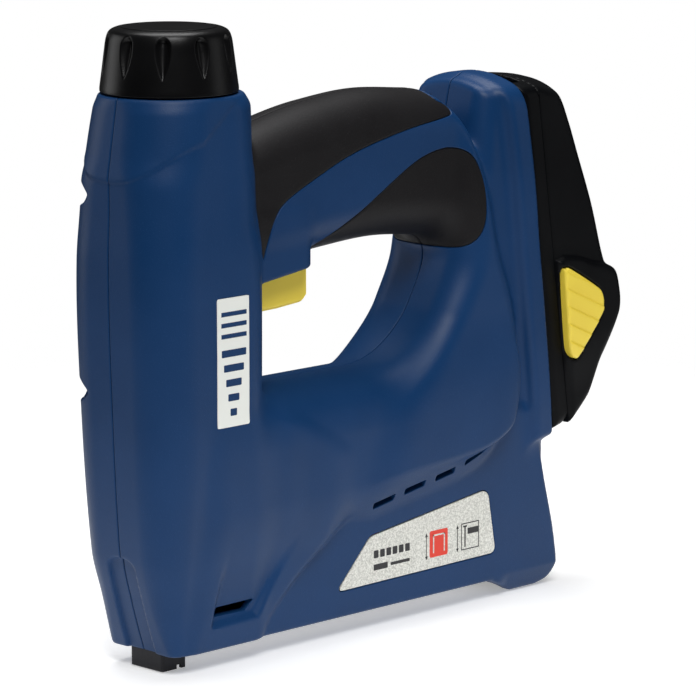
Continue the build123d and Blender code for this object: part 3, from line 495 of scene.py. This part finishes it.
class Nodes:
    """Builds one procedural material, node by node."""

    def __init__(self, name):
        self.material = bpy.data.materials.new(name)
        self.material.use_nodes = True
        self.tree = self.material.node_tree
        self.shader = self.tree.nodes["Principled BSDF"]

    def new(self, kind, **values):
        node = self.tree.nodes.new(kind)
        for key, value in values.items():
            setattr(node, key, value)
        return node

    def link(self, a, b):
        self.tree.links.new(a, b)

    def place(self):
        return self.new("ShaderNodeTexCoord").outputs["Object"]

    def noise(self, scale, detail=2.0, rough=0.5, place=None):
        n = self.new("ShaderNodeTexNoise")
        n.inputs["Scale"].default_value = scale
        n.inputs["Detail"].default_value = detail
        n.inputs["Roughness"].default_value = rough
        self.link(place or self.place(), n.inputs["Vector"])
        return n.outputs["Fac"]

    def scaled(self, source, a, b, c, d):
        n = self.new("ShaderNodeMapRange")
        for name, value in zip(("From Min", "From Max", "To Min", "To Max"), (a, b, c, d)):
            n.inputs[name].default_value = value
        self.link(source, n.inputs["Value"])
        return n.outputs["Result"]

    def math(self, op, a, b):
        n = self.new("ShaderNodeMath", operation=op)
        for i, value in enumerate((a, b)):
            if isinstance(value, (int, float)):
                n.inputs[i].default_value = value
            else:
                self.link(value, n.inputs[i])
        return n.outputs[0]

    def mix(self, fac, a, b):
        n = self.new("ShaderNodeMix", data_type="RGBA")
        for name, value in (("Factor", fac), ("A", a), ("B", b)):
            s = [i for i in n.inputs if i.name == name and (i.type == "RGBA" or name == "Factor")][0]
            if isinstance(value, tuple):
                s.default_value = (*value, 1)
            else:
                self.link(value, s)
        return [o for o in n.outputs if o.type == "RGBA"][0]

    def bump(self, height, strength, distance):
        n = self.new("ShaderNodeBump")
        n.inputs["Strength"].default_value = strength
        n.inputs["Distance"].default_value = distance
        self.link(height, n.inputs["Height"])
        return n.outputs["Normal"]

    def use(self, **values):
        for key, value in values.items():
            s = self.shader.inputs[key.replace("_", " ")]
            if isinstance(value, (int, float)):
                s.default_value = value
            elif isinstance(value, tuple):
                s.default_value = (*value, 1)
            else:
                self.link(value, s)
        return self.material


def plastic(name, colour, rough, grain=0.5, grain_size=2600, spec=0.5, wear=0.06, fleck=0.0):
    """Moulded plastic: fine grain, faint clouding and small scuffs."""
    m = Nodes(name)
    p = m.place()
    cloud = m.noise(26, 3, 0.55, p)
    fine = m.noise(grain_size, 2.5, 0.6, p)
    dark = tuple(c * (1 - wear) for c in colour)
    light = tuple(min(1, c * (1 + wear) + 0.002) for c in colour)
    tint = m.mix(m.scaled(cloud, 0.35, 0.65, 0, 1), dark, light)
    if fleck:
        bright = tuple(min(1, c * 1.6 + 0.02) for c in colour)
        tint = m.mix(m.scaled(fine, 0.6, 0.78, 0, fleck), tint, bright)
    scuffs = m.noise(420, 4, 0.7, p)
    worn = m.scaled(scuffs, 0.62, 0.8, 0, 0.08)
    r = m.math("ADD", m.scaled(cloud, 0.3, 0.7, rough - 0.03, rough + 0.04), worn)
    height = m.math("ADD", fine, m.math("MULTIPLY", scuffs, 0.3))
    return m.use(
        Base_Color=tint, Roughness=r, Specular_IOR_Level=spec, Normal=m.bump(height, grain, 0.00012)
    )


def metal(name, colour, rough):
    """Metal with fine lines that run up the piece."""
    m = Nodes(name)
    place = m.new("ShaderNodeMapping")
    place.inputs["Scale"].default_value = (900, 900, 60)
    m.link(m.place(), place.inputs["Vector"])
    lines = m.noise(1.0, 4, 0.6, place.outputs["Vector"])
    cloud = m.noise(60, 3, 0.5)
    tint = m.mix(m.scaled(cloud, 0.3, 0.7, 0, 1), tuple(c * 0.9 for c in colour), colour)
    return m.use(
        Base_Color=tint, Metallic=1.0, Roughness=m.scaled(lines, 0.3, 0.7, rough - 0.06, rough + 0.1),
        Normal=m.bump(lines, 0.3, 0.0001),
    )


def speckled(name, dark, light):
    """Foil with a fine silver speckle."""
    m = Nodes(name)
    p = m.place()
    fine = m.noise(1500, 2, 0.7, p)
    tint = m.mix(m.scaled(fine, 0.36, 0.64, 0, 1), dark, light)
    tint = m.mix(m.scaled(m.noise(2600, 1, 0.5, p), 0.62, 0.7, 0, 0.5), tint, (0.30, 0.30, 0.29))
    return m.use(
        Base_Color=tint, Metallic=0.25, Roughness=m.scaled(fine, 0.3, 0.7, 0.36, 0.5),
        Normal=m.bump(fine, 0.1, 0.0001),
    )


BLUE = plastic(
    "blue_shell", (0.0040, 0.038, 0.128), 0.42, grain=0.5, grain_size=2100, spec=0.22, fleck=0.5, wear=0.05
)
GRIP = plastic(
    "grip_rubber", (0.0075, 0.0068, 0.0078), 0.55, grain=0.8, grain_size=1700, spec=0.2, fleck=0.6
)
BLACK = plastic("black_satin", (0.0018, 0.0018, 0.0022), 0.3, grain=0.3, grain_size=2600, spec=0.24)
PACK = plastic("battery_black", (0.0016, 0.0019, 0.0027), 0.42, grain=0.4, grain_size=2300, spec=0.1)
YELLOW = plastic("yellow_part", (0.98, 0.75, 0.072), 0.42, grain=0.2, grain_size=2600, wear=0.04)
STEEL = metal("plain_steel", (0.55, 0.55, 0.57), 0.34)
DARK_STEEL = metal("black_steel", (0.03, 0.03, 0.033), 0.42)
GEAR = metal("oiled_steel", (0.36, 0.35, 0.34), 0.3)
BRASS = metal("contact_brass", (0.7, 0.55, 0.25), 0.3)
BOARD = plastic("solder_mask", (0.01, 0.09, 0.04), 0.4)
CELL = plastic("cell_wrap", (0.02, 0.16, 0.12), 0.3)
WHITE = plastic("white_print", (0.93, 0.95, 0.90), 0.4, grain=0.15, grain_size=2300, wear=0.02)
INK = plastic("dark_print", (0.012, 0.012, 0.014), 0.45, grain=0.1)
RED = plastic("red_print", (0.78, 0.035, 0.012), 0.4, grain=0.1)
SILVER = speckled("silver_foil", (0.55, 0.55, 0.50), (0.90, 0.90, 0.84))
PLAIN = {
    "steel": STEEL, "spring_steel": GEAR, "gear_steel": GEAR, "cast_zinc": STEEL, "black_steel": DARK_STEEL,
    "contact_brass": BRASS, "black_plastic": BLACK, "yellow_plastic": YELLOW, "blue_plastic": BLUE,
    "grip_rubber": GRIP, "bumper_rubber": GRIP, "circuit_board": BOARD, "cell_wrap": CELL, "label_foil": SILVER,
    "badge_white": WHITE,
}
for row in frame["record"]["subparts"]:
    piece = frame["nodes"].get(row["node"])
    if piece is not None:
        piece.data.materials.clear()
        piece.data.materials.append(PLAIN[row["material_slot"]])


# ------------------------------------------------------------------ half shells and grips
SEAM = 0.2
GRID = 0.9
WALL = 2.6
SINK_RADIUS, SINK_DEPTH = 4.3, 12.0
VENTS = [
    ((83.0, 48.2), (94.4, 50.2)), ((99.8, 51.2), (110.9, 53.1)), ((116.8, 53.8), (127.4, 55.7)),
    ((132.6, 57.6), (142.2, 61.6)),
]
LABEL = Outline(
    filleted([(66.6, 17.7, 0.9), (84.2, 36.0, 5), (149.0, 44.4, 3.6), (153.6, 18.6, 2.4)]), pad=12, step=0.25
)
BADGE = Outline(
    filleted([(-2.8, 91.0, 0.5), (12.9, 91.0, 0.5), (12.5, 138.0, 0.5), (-3.2, 138.0, 0.5)]), pad=12, step=0.25
)
WINDOW = Outline(np.array([(2.4, 19.4), (18.6, 19.2), (22.6, 23.2), (3.4, 23.0)]), pad=20, step=0.25)
SCREWS = [
    (-21, 173.5), (-21, 102.5), (22, 186), (30, 30), (100, 176), (146, 192), (112, 48), (152, 68),
]


def bar_slot(v, start, end, half_width):
    """Distance to a square-ended slot in the side view."""
    (ax, az), (bx, bz) = start, end
    length = math.hypot(bx - ax, bz - az)
    ux, uz = (bx - ax) / length, (bz - az) / length
    along = (v[:, 0] - (ax + bx) / 2) * ux + (v[:, 2] - (az + bz) / 2) * uz
    side = -(v[:, 0] - (ax + bx) / 2) * uz + (v[:, 2] - (az + bz) / 2) * ux
    return rounded(along, side, length / 2, half_width, 0.5)


def within(v, x0, x1, y1, z0, z1):
    """Distance to a box centred on the middle plane."""
    x, y, z = v.T
    level = np.maximum(np.maximum(x0 - x, x - x1), np.abs(y) - y1)
    return np.maximum(level, np.maximum(z0 - z, z - z1))


def seam(v):
    return v[:, 1] + SEAM


def up_grip(v):
    return UPPER_GRIP(v[:, 0], v[:, 2])


def low_grip(v):
    return LOWER_GRIP(v[:, 0], v[:, 2])


def dock_hole(v):
    x, y, z = v.T
    across = np.maximum(np.abs(y) - 12.2, np.abs(up_dock(x, z)) - 22.4)
    return np.maximum(across, -3 - out_of_dock(x, z))


# Nose, magazine, rail end, trigger, knob screw and battery dock
OPENINGS = [
    lambda v: within(v, -14.0, -1.6, 9.1, 0, 12),
    lambda v: within(v, -8.6, 170, 7.35, -2, 14),
    lambda v: within(v, 161.4, 300, 9.2, -2, 22.4),
    lambda v: within(v, 31.4, 61.6, 8.7, 130, 150),
    lambda v: np.maximum(np.hypot(v[:, 0], v[:, 1]) - 8.6, 200 - v[:, 2]),
    dock_hole,
]


def open_up(v, t, hole, width=0.35, drop=0.2):
    """Cuts a hole in a skin and rounds its edge a little."""
    v, t = keep(v, t, lambda p: -hole(p))
    return soften(v, t, lambda p: -hole(p), width, drop)


def soften(v, t, field, width, drop):
    """Rounds the skin over towards a field's zero line."""
    near = np.abs(field(v)) < 3 * width + 1.5
    if not near.any():
        return v, t
    for share in (1.0, 0.55, 0.2):
        v, t = cut(v, t, lambda p: field(p) + share * width, snap=0.02)
    near = field(v) > -width
    if near.any():
        n = slope(shell_form, v[near])[1]
        v = v.copy()
        v[near] = rounded_edge(v[near], n, field, width, drop)
    return v, t


whole_v, whole_t = surface(shell_form, (-32, -30, -1.2), (193, 1.8, 211.5), GRID)
half_v, half_t = keep(whole_v, whole_t, seam)

shell_v, shell_t = half_v, half_t
for grip in (up_grip, low_grip):
    shell_v, shell_t = keep(shell_v, shell_t, lambda p: 0.1 - grip(p))
    shell_v, shell_t = soften(shell_v, shell_t, lambda p: 0.1 - grip(p), 0.4, 0.3)
shell_v, shell_t = soften(shell_v, shell_t, seam, 0.4, 0.3)
for hole in OPENINGS:
    shell_v, shell_t = open_up(shell_v, shell_t, hole)
for start, end in VENTS:
    shell_v, shell_t = open_up(shell_v, shell_t, lambda p: bar_slot(p, start, end, 1.35))
shell_v, shell_t = open_up(shell_v, shell_t, lambda p: WINDOW(p[:, 0], p[:, 2]))


def label_hole(p):
    return LABEL(p[:, 0], p[:, 2]) - 0.4


def badge_hole(p):
    return BADGE(p[:, 0], p[:, 2]) - 0.12


shell_v, shell_t = open_up(shell_v, shell_t, label_hole, 0.3, 0.2)
shell_v, shell_t = open_up(shell_v, shell_t, badge_hole, 0.2, 0.08)


def with_walls(v, t, depth):
    return walls(v, t, slope(shell_form, v)[1], depth)


def screw_sink(x, z):
    """Distance to a screw's sink; the two at the front of the column run out round its corner."""
    reach = 1.8 if x < -20 else 0

    def field(p):
        along = np.maximum(np.abs(p[:, 0] - x + reach) - reach, 0)
        return np.where(p[:, 1] > 8, np.hypot(along, p[:, 2] - z) - SINK_RADIUS, 9)

    return field


def beside_sink(middles):
    """How far the middles of some edges are from the nearest sink's rim."""
    return np.min([np.abs(sink(middles)) for sink in SINKS], 0)


SINKS = [screw_sink(x, z) for x, z in SCREWS]


v, t = with_walls(shell_v, shell_t, WALL)
mesh_object("left_shell", v, t, BLUE, "frame", ("left_housing",), sharp=42)
right_v, right_t = mirror(shell_v, shell_t)
for sink in SINKS:
    right_v, right_t = open_up(right_v, right_t, sink, 0.4, 0.25)
n = slope(shell_form, right_v)[1]
v, t = walls(right_v, right_t, n, WALL, lambda c: beside_sink(c) > 0.3)
across = np.broadcast_to((0.0, 1.0, 0.0), v.shape)
v, t = walls(v, t, across, SINK_DEPTH, lambda c: beside_sink(c) < 0.3)
mesh_object("right_shell", v, t, BLUE, "frame", ("right_housing",), sharp=42)

for name, grip in (("upper", up_grip), ("lower", low_grip)):
    v, t = keep(half_v, half_t, lambda p: grip(p) + 0.12)
    n = slope(shell_form, v)[1]
    v = v + 0.1 * n
    v, t = soften(v, t, lambda p: grip(p) + 0.12, 1.1, 0.5)
    v, t = soften(v, t, seam, 0.6, 0.4)
    v, t = with_walls(v, t, 1.7)
    mesh_object(f"{name}_grip_l", v, t, GRIP, "frame", (f"{name}_grip_left",), sharp=50)
    v, t = mirror(v, t)
    mesh_object(f"{name}_grip_r", v, t, GRIP, "frame", (f"{name}_grip_right",), sharp=50)

# ------------------------------------------------------------------ rating plates and badges
PRINT_LIFT = 0.05


def on_skin(points, lift):
    """Points of the side view, placed on the left face of the shells."""
    p = np.array(points, float)
    y = np.full(len(p), -18.0 if p[:, 1].max() < 50 else -27.0)
    for _ in range(12):
        y = y + shell_form(p[:, 0], y, p[:, 1])
    return np.stack([p[:, 0], y - lift, p[:, 1]], 1)


def slab(points, lift):
    """A thin closed print over a convex outline."""
    top = on_skin(points, lift)
    low = top + (0, 0.12, 0)
    n = len(top)
    i = np.arange(1, n - 1)
    k = np.arange(n)
    j = (k + 1) % n
    face = np.stack([0 * i, i, i + 1], 1)
    sides = np.concatenate([np.stack([k, k + n, j], 1), np.stack([j, k + n, j + n], 1)])
    return np.concatenate([top, low]), np.concatenate([face, face[:, ::-1] + n, sides])


def bar(x0, x1, z0, z1, r=0.0):
    return filleted([(x0, z0, r), (x1, z0, r), (x1, z1, r), (x0, z1, r)])


def arrow(x, z0, z1):
    return [
        bar(x - 0.17, x + 0.17, z0 + 1, z1 - 1),
        np.array([(x, z0), (x + 0.75, z0 + 1.5), (x - 0.75, z0 + 1.5)]),
        np.array([(x, z1), (x - 0.75, z1 - 1.5), (x + 0.75, z1 - 1.5)]),
    ]


def frame_bars(x0, x1, z0, z1, w):
    return [
        bar(x0, x1, z0, z0 + w), bar(x0, x1, z1 - w, z1), bar(x0, x0 + w, z0 + w, z1 - w),
        bar(x1 - w, x1, z0 + w, z1 - w),
    ]


DARK_PRINTS = [bar(85.9 + 3.4 * i, 88.4 + 3.4 * i, 27.3, 30.3, 0.4) for i in range(6)]
DARK_PRINTS += [bar(85.8, 93.4, 22.6, 24.9, 0.3), bar(95.0, 105.4, 23.2, 24.4, 0.3)]
DARK_PRINTS += arrow(114.6, 21.8, 32.4) + arrow(131.9, 22.1, 32.8)
DARK_PRINTS += frame_bars(134.0, 144.0, 22.4, 33.0, 0.4)
DARK_PRINTS += [bar(137.6, 143.6, 28.4, 30.8), bar(135.8, 136.5, 23.6, 32.0), bar(135.1, 137.2, 31.4, 32.0)]
RED_PRINTS = [bar(116.4, 126.4, 22.4, 32.8, 0.8)]
PALE_PRINTS = [bar(118.2, 118.8, 24.0, 31.2), bar(118.2, 124.8, 30.6, 31.2), bar(124.2, 124.8, 24.0, 31.2)]
BADGE_PRINTS = [
    bar(3.4 - 1.1 * i, 6.6 + 1.1 * i, 95.0 + 5.4 * i, 97.6 + 5.4 * i, 0.35) for i in range(5)
]
BADGE_PRINTS += [bar(-1.2, 11.2, 123.4, 125.0), bar(-1.2, 11.2, 127.4, 129.0), bar(-1.2, 11.2, 131.4, 133.0)]


def plate(name, outline, lift, base, groups, nodes):
    """A printed plate: the skin inside an outline, its rim, and its prints."""
    v, t = keep(half_v, half_t, lambda p: outline(p[:, 0], p[:, 2]))
    n = slope(shell_form, v)[1]
    v = v + lift * n
    v, t = soften(v, t, lambda p: outline(p[:, 0], p[:, 2]), 0.25, 0.1)
    v, t = with_walls(v, t, 0.4 + lift)
    pieces, paint, materials = [(v, t)], [np.zeros(len(t), int)], [base]
    for material, prints, above in groups:
        materials.append(material)
        for points in prints:
            pieces.append(slab(points, lift + PRINT_LIFT * above))
            paint.append(np.full(len(pieces[-1][1]), len(materials) - 1))
    start = np.cumsum([0] + [len(p[0]) for p in pieces])
    v = np.concatenate([p[0] for p in pieces])
    t = np.concatenate([p[1] + k for p, k in zip(pieces, start)])
    for side, flip in (("l", False), ("r", True)):
        a, b = mirror(v, t) if flip else (v, t)
        made = mesh_object(f"{name}_{side}", a, b, base, "frame", (nodes[flip],), sharp=30)
        for material in materials[1:]:
            made.data.materials.append(material)
        made.data.polygons.foreach_set("material_index", np.concatenate(paint).astype(np.int32))


LABEL_PRINTS = [(INK, DARK_PRINTS, 1), (RED, RED_PRINTS, 1), (SILVER, PALE_PRINTS, 2)]
plate("rating_plate", LABEL, 0.12, SILVER, LABEL_PRINTS, ("label_left", "label_right"))
plate("badge_plate", BADGE, 0.06, WHITE, [(BLUE, BADGE_PRINTS, 1)], ("badge_left", "badge_right"))

# ------------------------------------------------------------------ battery pack
# Its points are (out of the dock, across, up the dock)
PACK_SPLIT = 8.9
PACK_SIDE = Outline(curve(
    [
        (0.3, 84.6), (6, 84.0), (12.4, 82.8), (20.4, 80.4), (26.4, 76.6), (30.2, 65.2), (33.5, 52.2),
        (38.9, 30.7), (42.0, 12.0), (44.2, 0.0), (43.0, -16.0), (36.5, -30.2), (17.7, -45.5),
        (6.1, -52.6), (0.3, -53.3),
    ],
    corners=(0, 13, 14),
), pad=16, step=0.4)
COLLAR_SIDE = Outline(curve(
    [
        (9.2, 13.4), (13.5, 14.2), (30.0, 9.6), (42.2, 5.2), (47.6, 1.2), (49.0, -6.0), (48.7, -12.8),
        (45.8, -18.6), (34.6, -32.2), (21.6, -44.6), (9.2, -53.2),
    ],
    corners=(0, 1, 3, 10),
), pad=16, step=0.4)
BUTTON_SIDE = Outline(curve(
    [
        (10.6, 7.6), (12.0, 9.4), (14.6, 9.0), (27.4, -0.8), (30.8, -4.6), (31.4, -9.6), (29.0, -14.2),
        (15.8, -25.8), (12.6, -26.8), (10.2, -24.2), (9.6, -18.0),
    ],
    corners=(),
), pad=12, step=0.25)


def pack_form(x, y, z):
    """Signed distance to the pack; x is out of the dock, z is up along it."""
    y = np.abs(y)
    crown = 0.009 * y * y
    high = z + (crown - 3.2) * ease((z - 60) / 20)
    body = smax(PACK_SIDE(x + crown * ease((x - 8) / 10), high), y - 22.6, 3.6)
    bulge = 25.6 - 1.6 * ease((-18 - z) / 24)
    collar = smax(COLLAR_SIDE(x + crown * ease((x - 20) / 10), z), y - bulge, 3.4)
    body = smin(body, collar, 1.0)
    seat = smax(BUTTON_SIDE(x, z) - 0.45, 23.2 - y, 0.6)
    body = smax(body, -seat, 0.8)
    body = smax(body, -np.maximum(np.abs(x - PACK_SPLIT) - 0.3, -(body + 0.5)), 0.2)
    stem = np.maximum(y - 12.35, np.maximum(-23 - z, x - 6.5))
    head = np.maximum(np.maximum(y - 15.35, 2.6 - x), np.maximum(-23 - z, x - 6.5))
    return smax(body, -np.minimum(stem, head), 0.4)


OUT_WAY = np.array([1, 0, LEAN]) / NORM
UP_WAY = np.array([-LEAN, 0, 1]) / NORM
MIDDLE_OF_DOCK = np.array([DOCK_X, 0, DOCK_Z])


def docked(v):
    """From the dock's own axes to the frame's."""
    across = v[:, 1:2] * np.array([0, 1, 0])
    return MIDDLE_OF_DOCK + v[:, :1] * OUT_WAY + across + v[:, 2:3] * UP_WAY


pv, pt = surface(pack_form, (-0.9, -27.5, -55), (51, 1.6, 91), 0.75)
pv, pt = keep(pv, pt, lambda p: p[:, 1])
other_v, other_t = mirror(pv, pt)
pv, pt = np.concatenate([pv, other_v]), np.concatenate([pt, other_t + len(pv)])
v, t = keep(pv, pt, lambda p: p[:, 0] - PACK_SPLIT)
mesh_object("pack_front", docked(v), t, PACK, "battery", ("battery_front",), sharp=50)
v, t = keep(pv, pt, lambda p: PACK_SPLIT - p[:, 0])
mesh_object("pack_rear", docked(v), t, PACK, "battery", ("battery_rear",), sharp=50)


def button_form(x, y, z):
    """Signed distance to the right release button: a slightly domed face with saw-tooth ribs."""
    face = 26.6 - 0.35 * ((z + 8) / 18) ** 2
    slope_up = (z + 3.4 + 0.62 * (x - 20)) / 7.2
    step = slope_up - np.floor(slope_up)
    inset = ease((0.3 - BUTTON_SIDE(x, z)) / 1.6)
    ridge = 0.75 * step * (1 - ease((step - 0.88) / 0.12)) * inset
    return smax(smax(BUTTON_SIDE(x, z), y - face - ridge, 1.1), 22 - y, 0.3)


v, t = surface(button_form, (7, 21.2, -30), (33, 28, 12), 0.42)
mesh_object("button_r", docked(v), t, YELLOW, "release_right", ("release_right",), sharp=50)
v, t = mirror(v, t)
mesh_object("button_l", docked(v), t, YELLOW, "release_left", ("release_left",), sharp=50)

# ------------------------------------------------------------------ power knob
PROFILE = curve(
    [
        (20.2, 210.4), (24.3, 210.15), (24.95, 210.9), (24.6, 214.0), (24.0, 218.5), (23.2, 224.7),
        (22.5, 229.2), (21.3, 231.8), (18.9, 233.0), (17.1, 233.1), (16.6, 233.35), (9.0, 233.55),
        (0.0, 233.6),
    ],
    corners=(0, 12), per=7,
)[: 12 * 7 + 1]
KNOB_SCALLOPS = 10


def knob_skin():
    """The knob's profile turned round its axis, with finger scallops."""
    around = 540
    turn = np.arange(around) * 2 * np.pi / around
    r, z = PROFILE[:, 0][:, None], PROFILE[:, 1][:, None]
    # Tear-shaped scallops: wide and deep near the top, running out to a point below
    period = 2 * np.pi / KNOB_SCALLOPS
    off = ((turn - math.radians(6.2) + period / 2) % period - period / 2)[None, :] * 23.2
    down = (231.6 - z) / 15.2
    wide = 2.9 * np.sqrt(np.clip(down * 5, 0, 1)) * np.sqrt(np.clip(1 - ease((down - 0.3) / 0.72), 0, 1))
    inside = np.clip(1 - (off / np.maximum(wide, 0.05)) ** 2, 0, 1) * ((down > 0) & (down < 1))
    r = r - 2.5 * ease(down * 6) * np.sqrt(np.clip(1 - down, 0, 1)) * inside
    v = np.stack([r * np.cos(turn), r * np.sin(turn), z + 0 * r], 2)
    rows = len(PROFILE)
    v = v.reshape(-1, 3)
    i, j = np.meshgrid(np.arange(rows - 1), np.arange(around), indexing="ij")
    a, b = i * around + j, i * around + (j + 1) % around
    c, d = a + around, b + around
    first, second = np.stack([a, b, d], 2), np.stack([a, d, c], 2)
    return v, np.concatenate([first.reshape(-1, 3), second.reshape(-1, 3)])


v, t = knob_skin()
mesh_object("knob_cap", v, t, BLACK, "knob", ("power_knob",), sharp=60)

# ------------------------------------------------------------------ stage, light and camera


def area(name, place, size, power):
    """A soft lamp that faces the middle of the tool."""
    lamp = bpy.data.lights.new(name, "AREA")
    lamp.shape, lamp.size, lamp.size_y = "RECTANGLE", size[0], size[1]
    lamp.energy = power
    made = bpy.data.objects.new(name, lamp)
    bpy.context.scene.collection.objects.link(made)
    made.location = place
    made.rotation_euler = (Vector(MIDDLE) - Vector(place)).to_track_quat("-Z", "Y").to_euler()


MIDDLE = (0.09, 0, 0.11)
area("key", (-0.75, -1.15, 1.75), (0.9, 0.9), 31)
area("rim", (-0.6, 1.35, 0.4), (0.8, 1.0), 4.0)
area("side", (1.15, -1.0, 0.35), (0.6, 1.0), 1.3)
area("top", (0.2, 0.2, 1.3), (0.8, 0.8), 13)

floor_data = bpy.data.meshes.new("floor")
floor_data.from_pydata([(-6, -6, 0), (6, -6, 0), (6, 6, 0), (-6, 6, 0)], [], [(0, 1, 2, 3)])
floor = bpy.data.objects.new("floor", floor_data)
bpy.context.scene.collection.objects.link(floor)
pale = Nodes("pale_floor")
spread = pale.new("ShaderNodeVectorMath", operation="DISTANCE")
pale.link(pale.place(), spread.inputs[0])
spread.inputs[1].default_value = (0.1, 0.0, 0.0)
floor_data.materials.append(pale.use(
    Base_Color=(0.92, 0.92, 0.92), Roughness=pale.scaled(pale.noise(6), 0, 1, 0.78, 0.84),
    Emission_Color=(1, 1, 1), Emission_Strength=0.35,
    Alpha=pale.scaled(spread.outputs["Value"], 0.22, 0.55, 1, 0),
))
floor.location = (0, 0, -0.0004)

world = bpy.data.worlds.new("studio")
bpy.context.scene.world = world
world.use_nodes = True
sky = world.node_tree
background = sky.nodes["Background"]
background.inputs["Color"].default_value = (1, 1, 1, 1)
# The room is dim round the tool; only the backdrop itself is white
seen = sky.nodes.new("ShaderNodeLightPath").outputs["Is Camera Ray"]
level = sky.nodes.new("ShaderNodeMapRange")
level.inputs["To Min"].default_value = 0.03
level.inputs["To Max"].default_value = 1.0
sky.links.new(seen, level.inputs["Value"])
sky.links.new(level.outputs["Result"], background.inputs["Strength"])

camera_data = bpy.data.cameras.new("photo_camera")
camera_data.sensor_width = 36
camera_data.lens = 205.66
camera_data.clip_end = 20
camera = bpy.data.objects.new("photo_camera", camera_data)
bpy.context.scene.collection.objects.link(camera)
camera.location = (-0.958083, -1.041412, 0.372606)
turn, tilt = math.radians(45.2), math.radians(10.26)
back = Vector((-math.sin(turn) * math.cos(tilt), -math.cos(turn) * math.cos(tilt), math.sin(tilt)))
camera.rotation_euler = (-back).to_track_quat("-Z", "Y").to_euler()
bpy.context.scene.camera = camera
bpy.context.scene.view_settings.view_transform = "Standard"
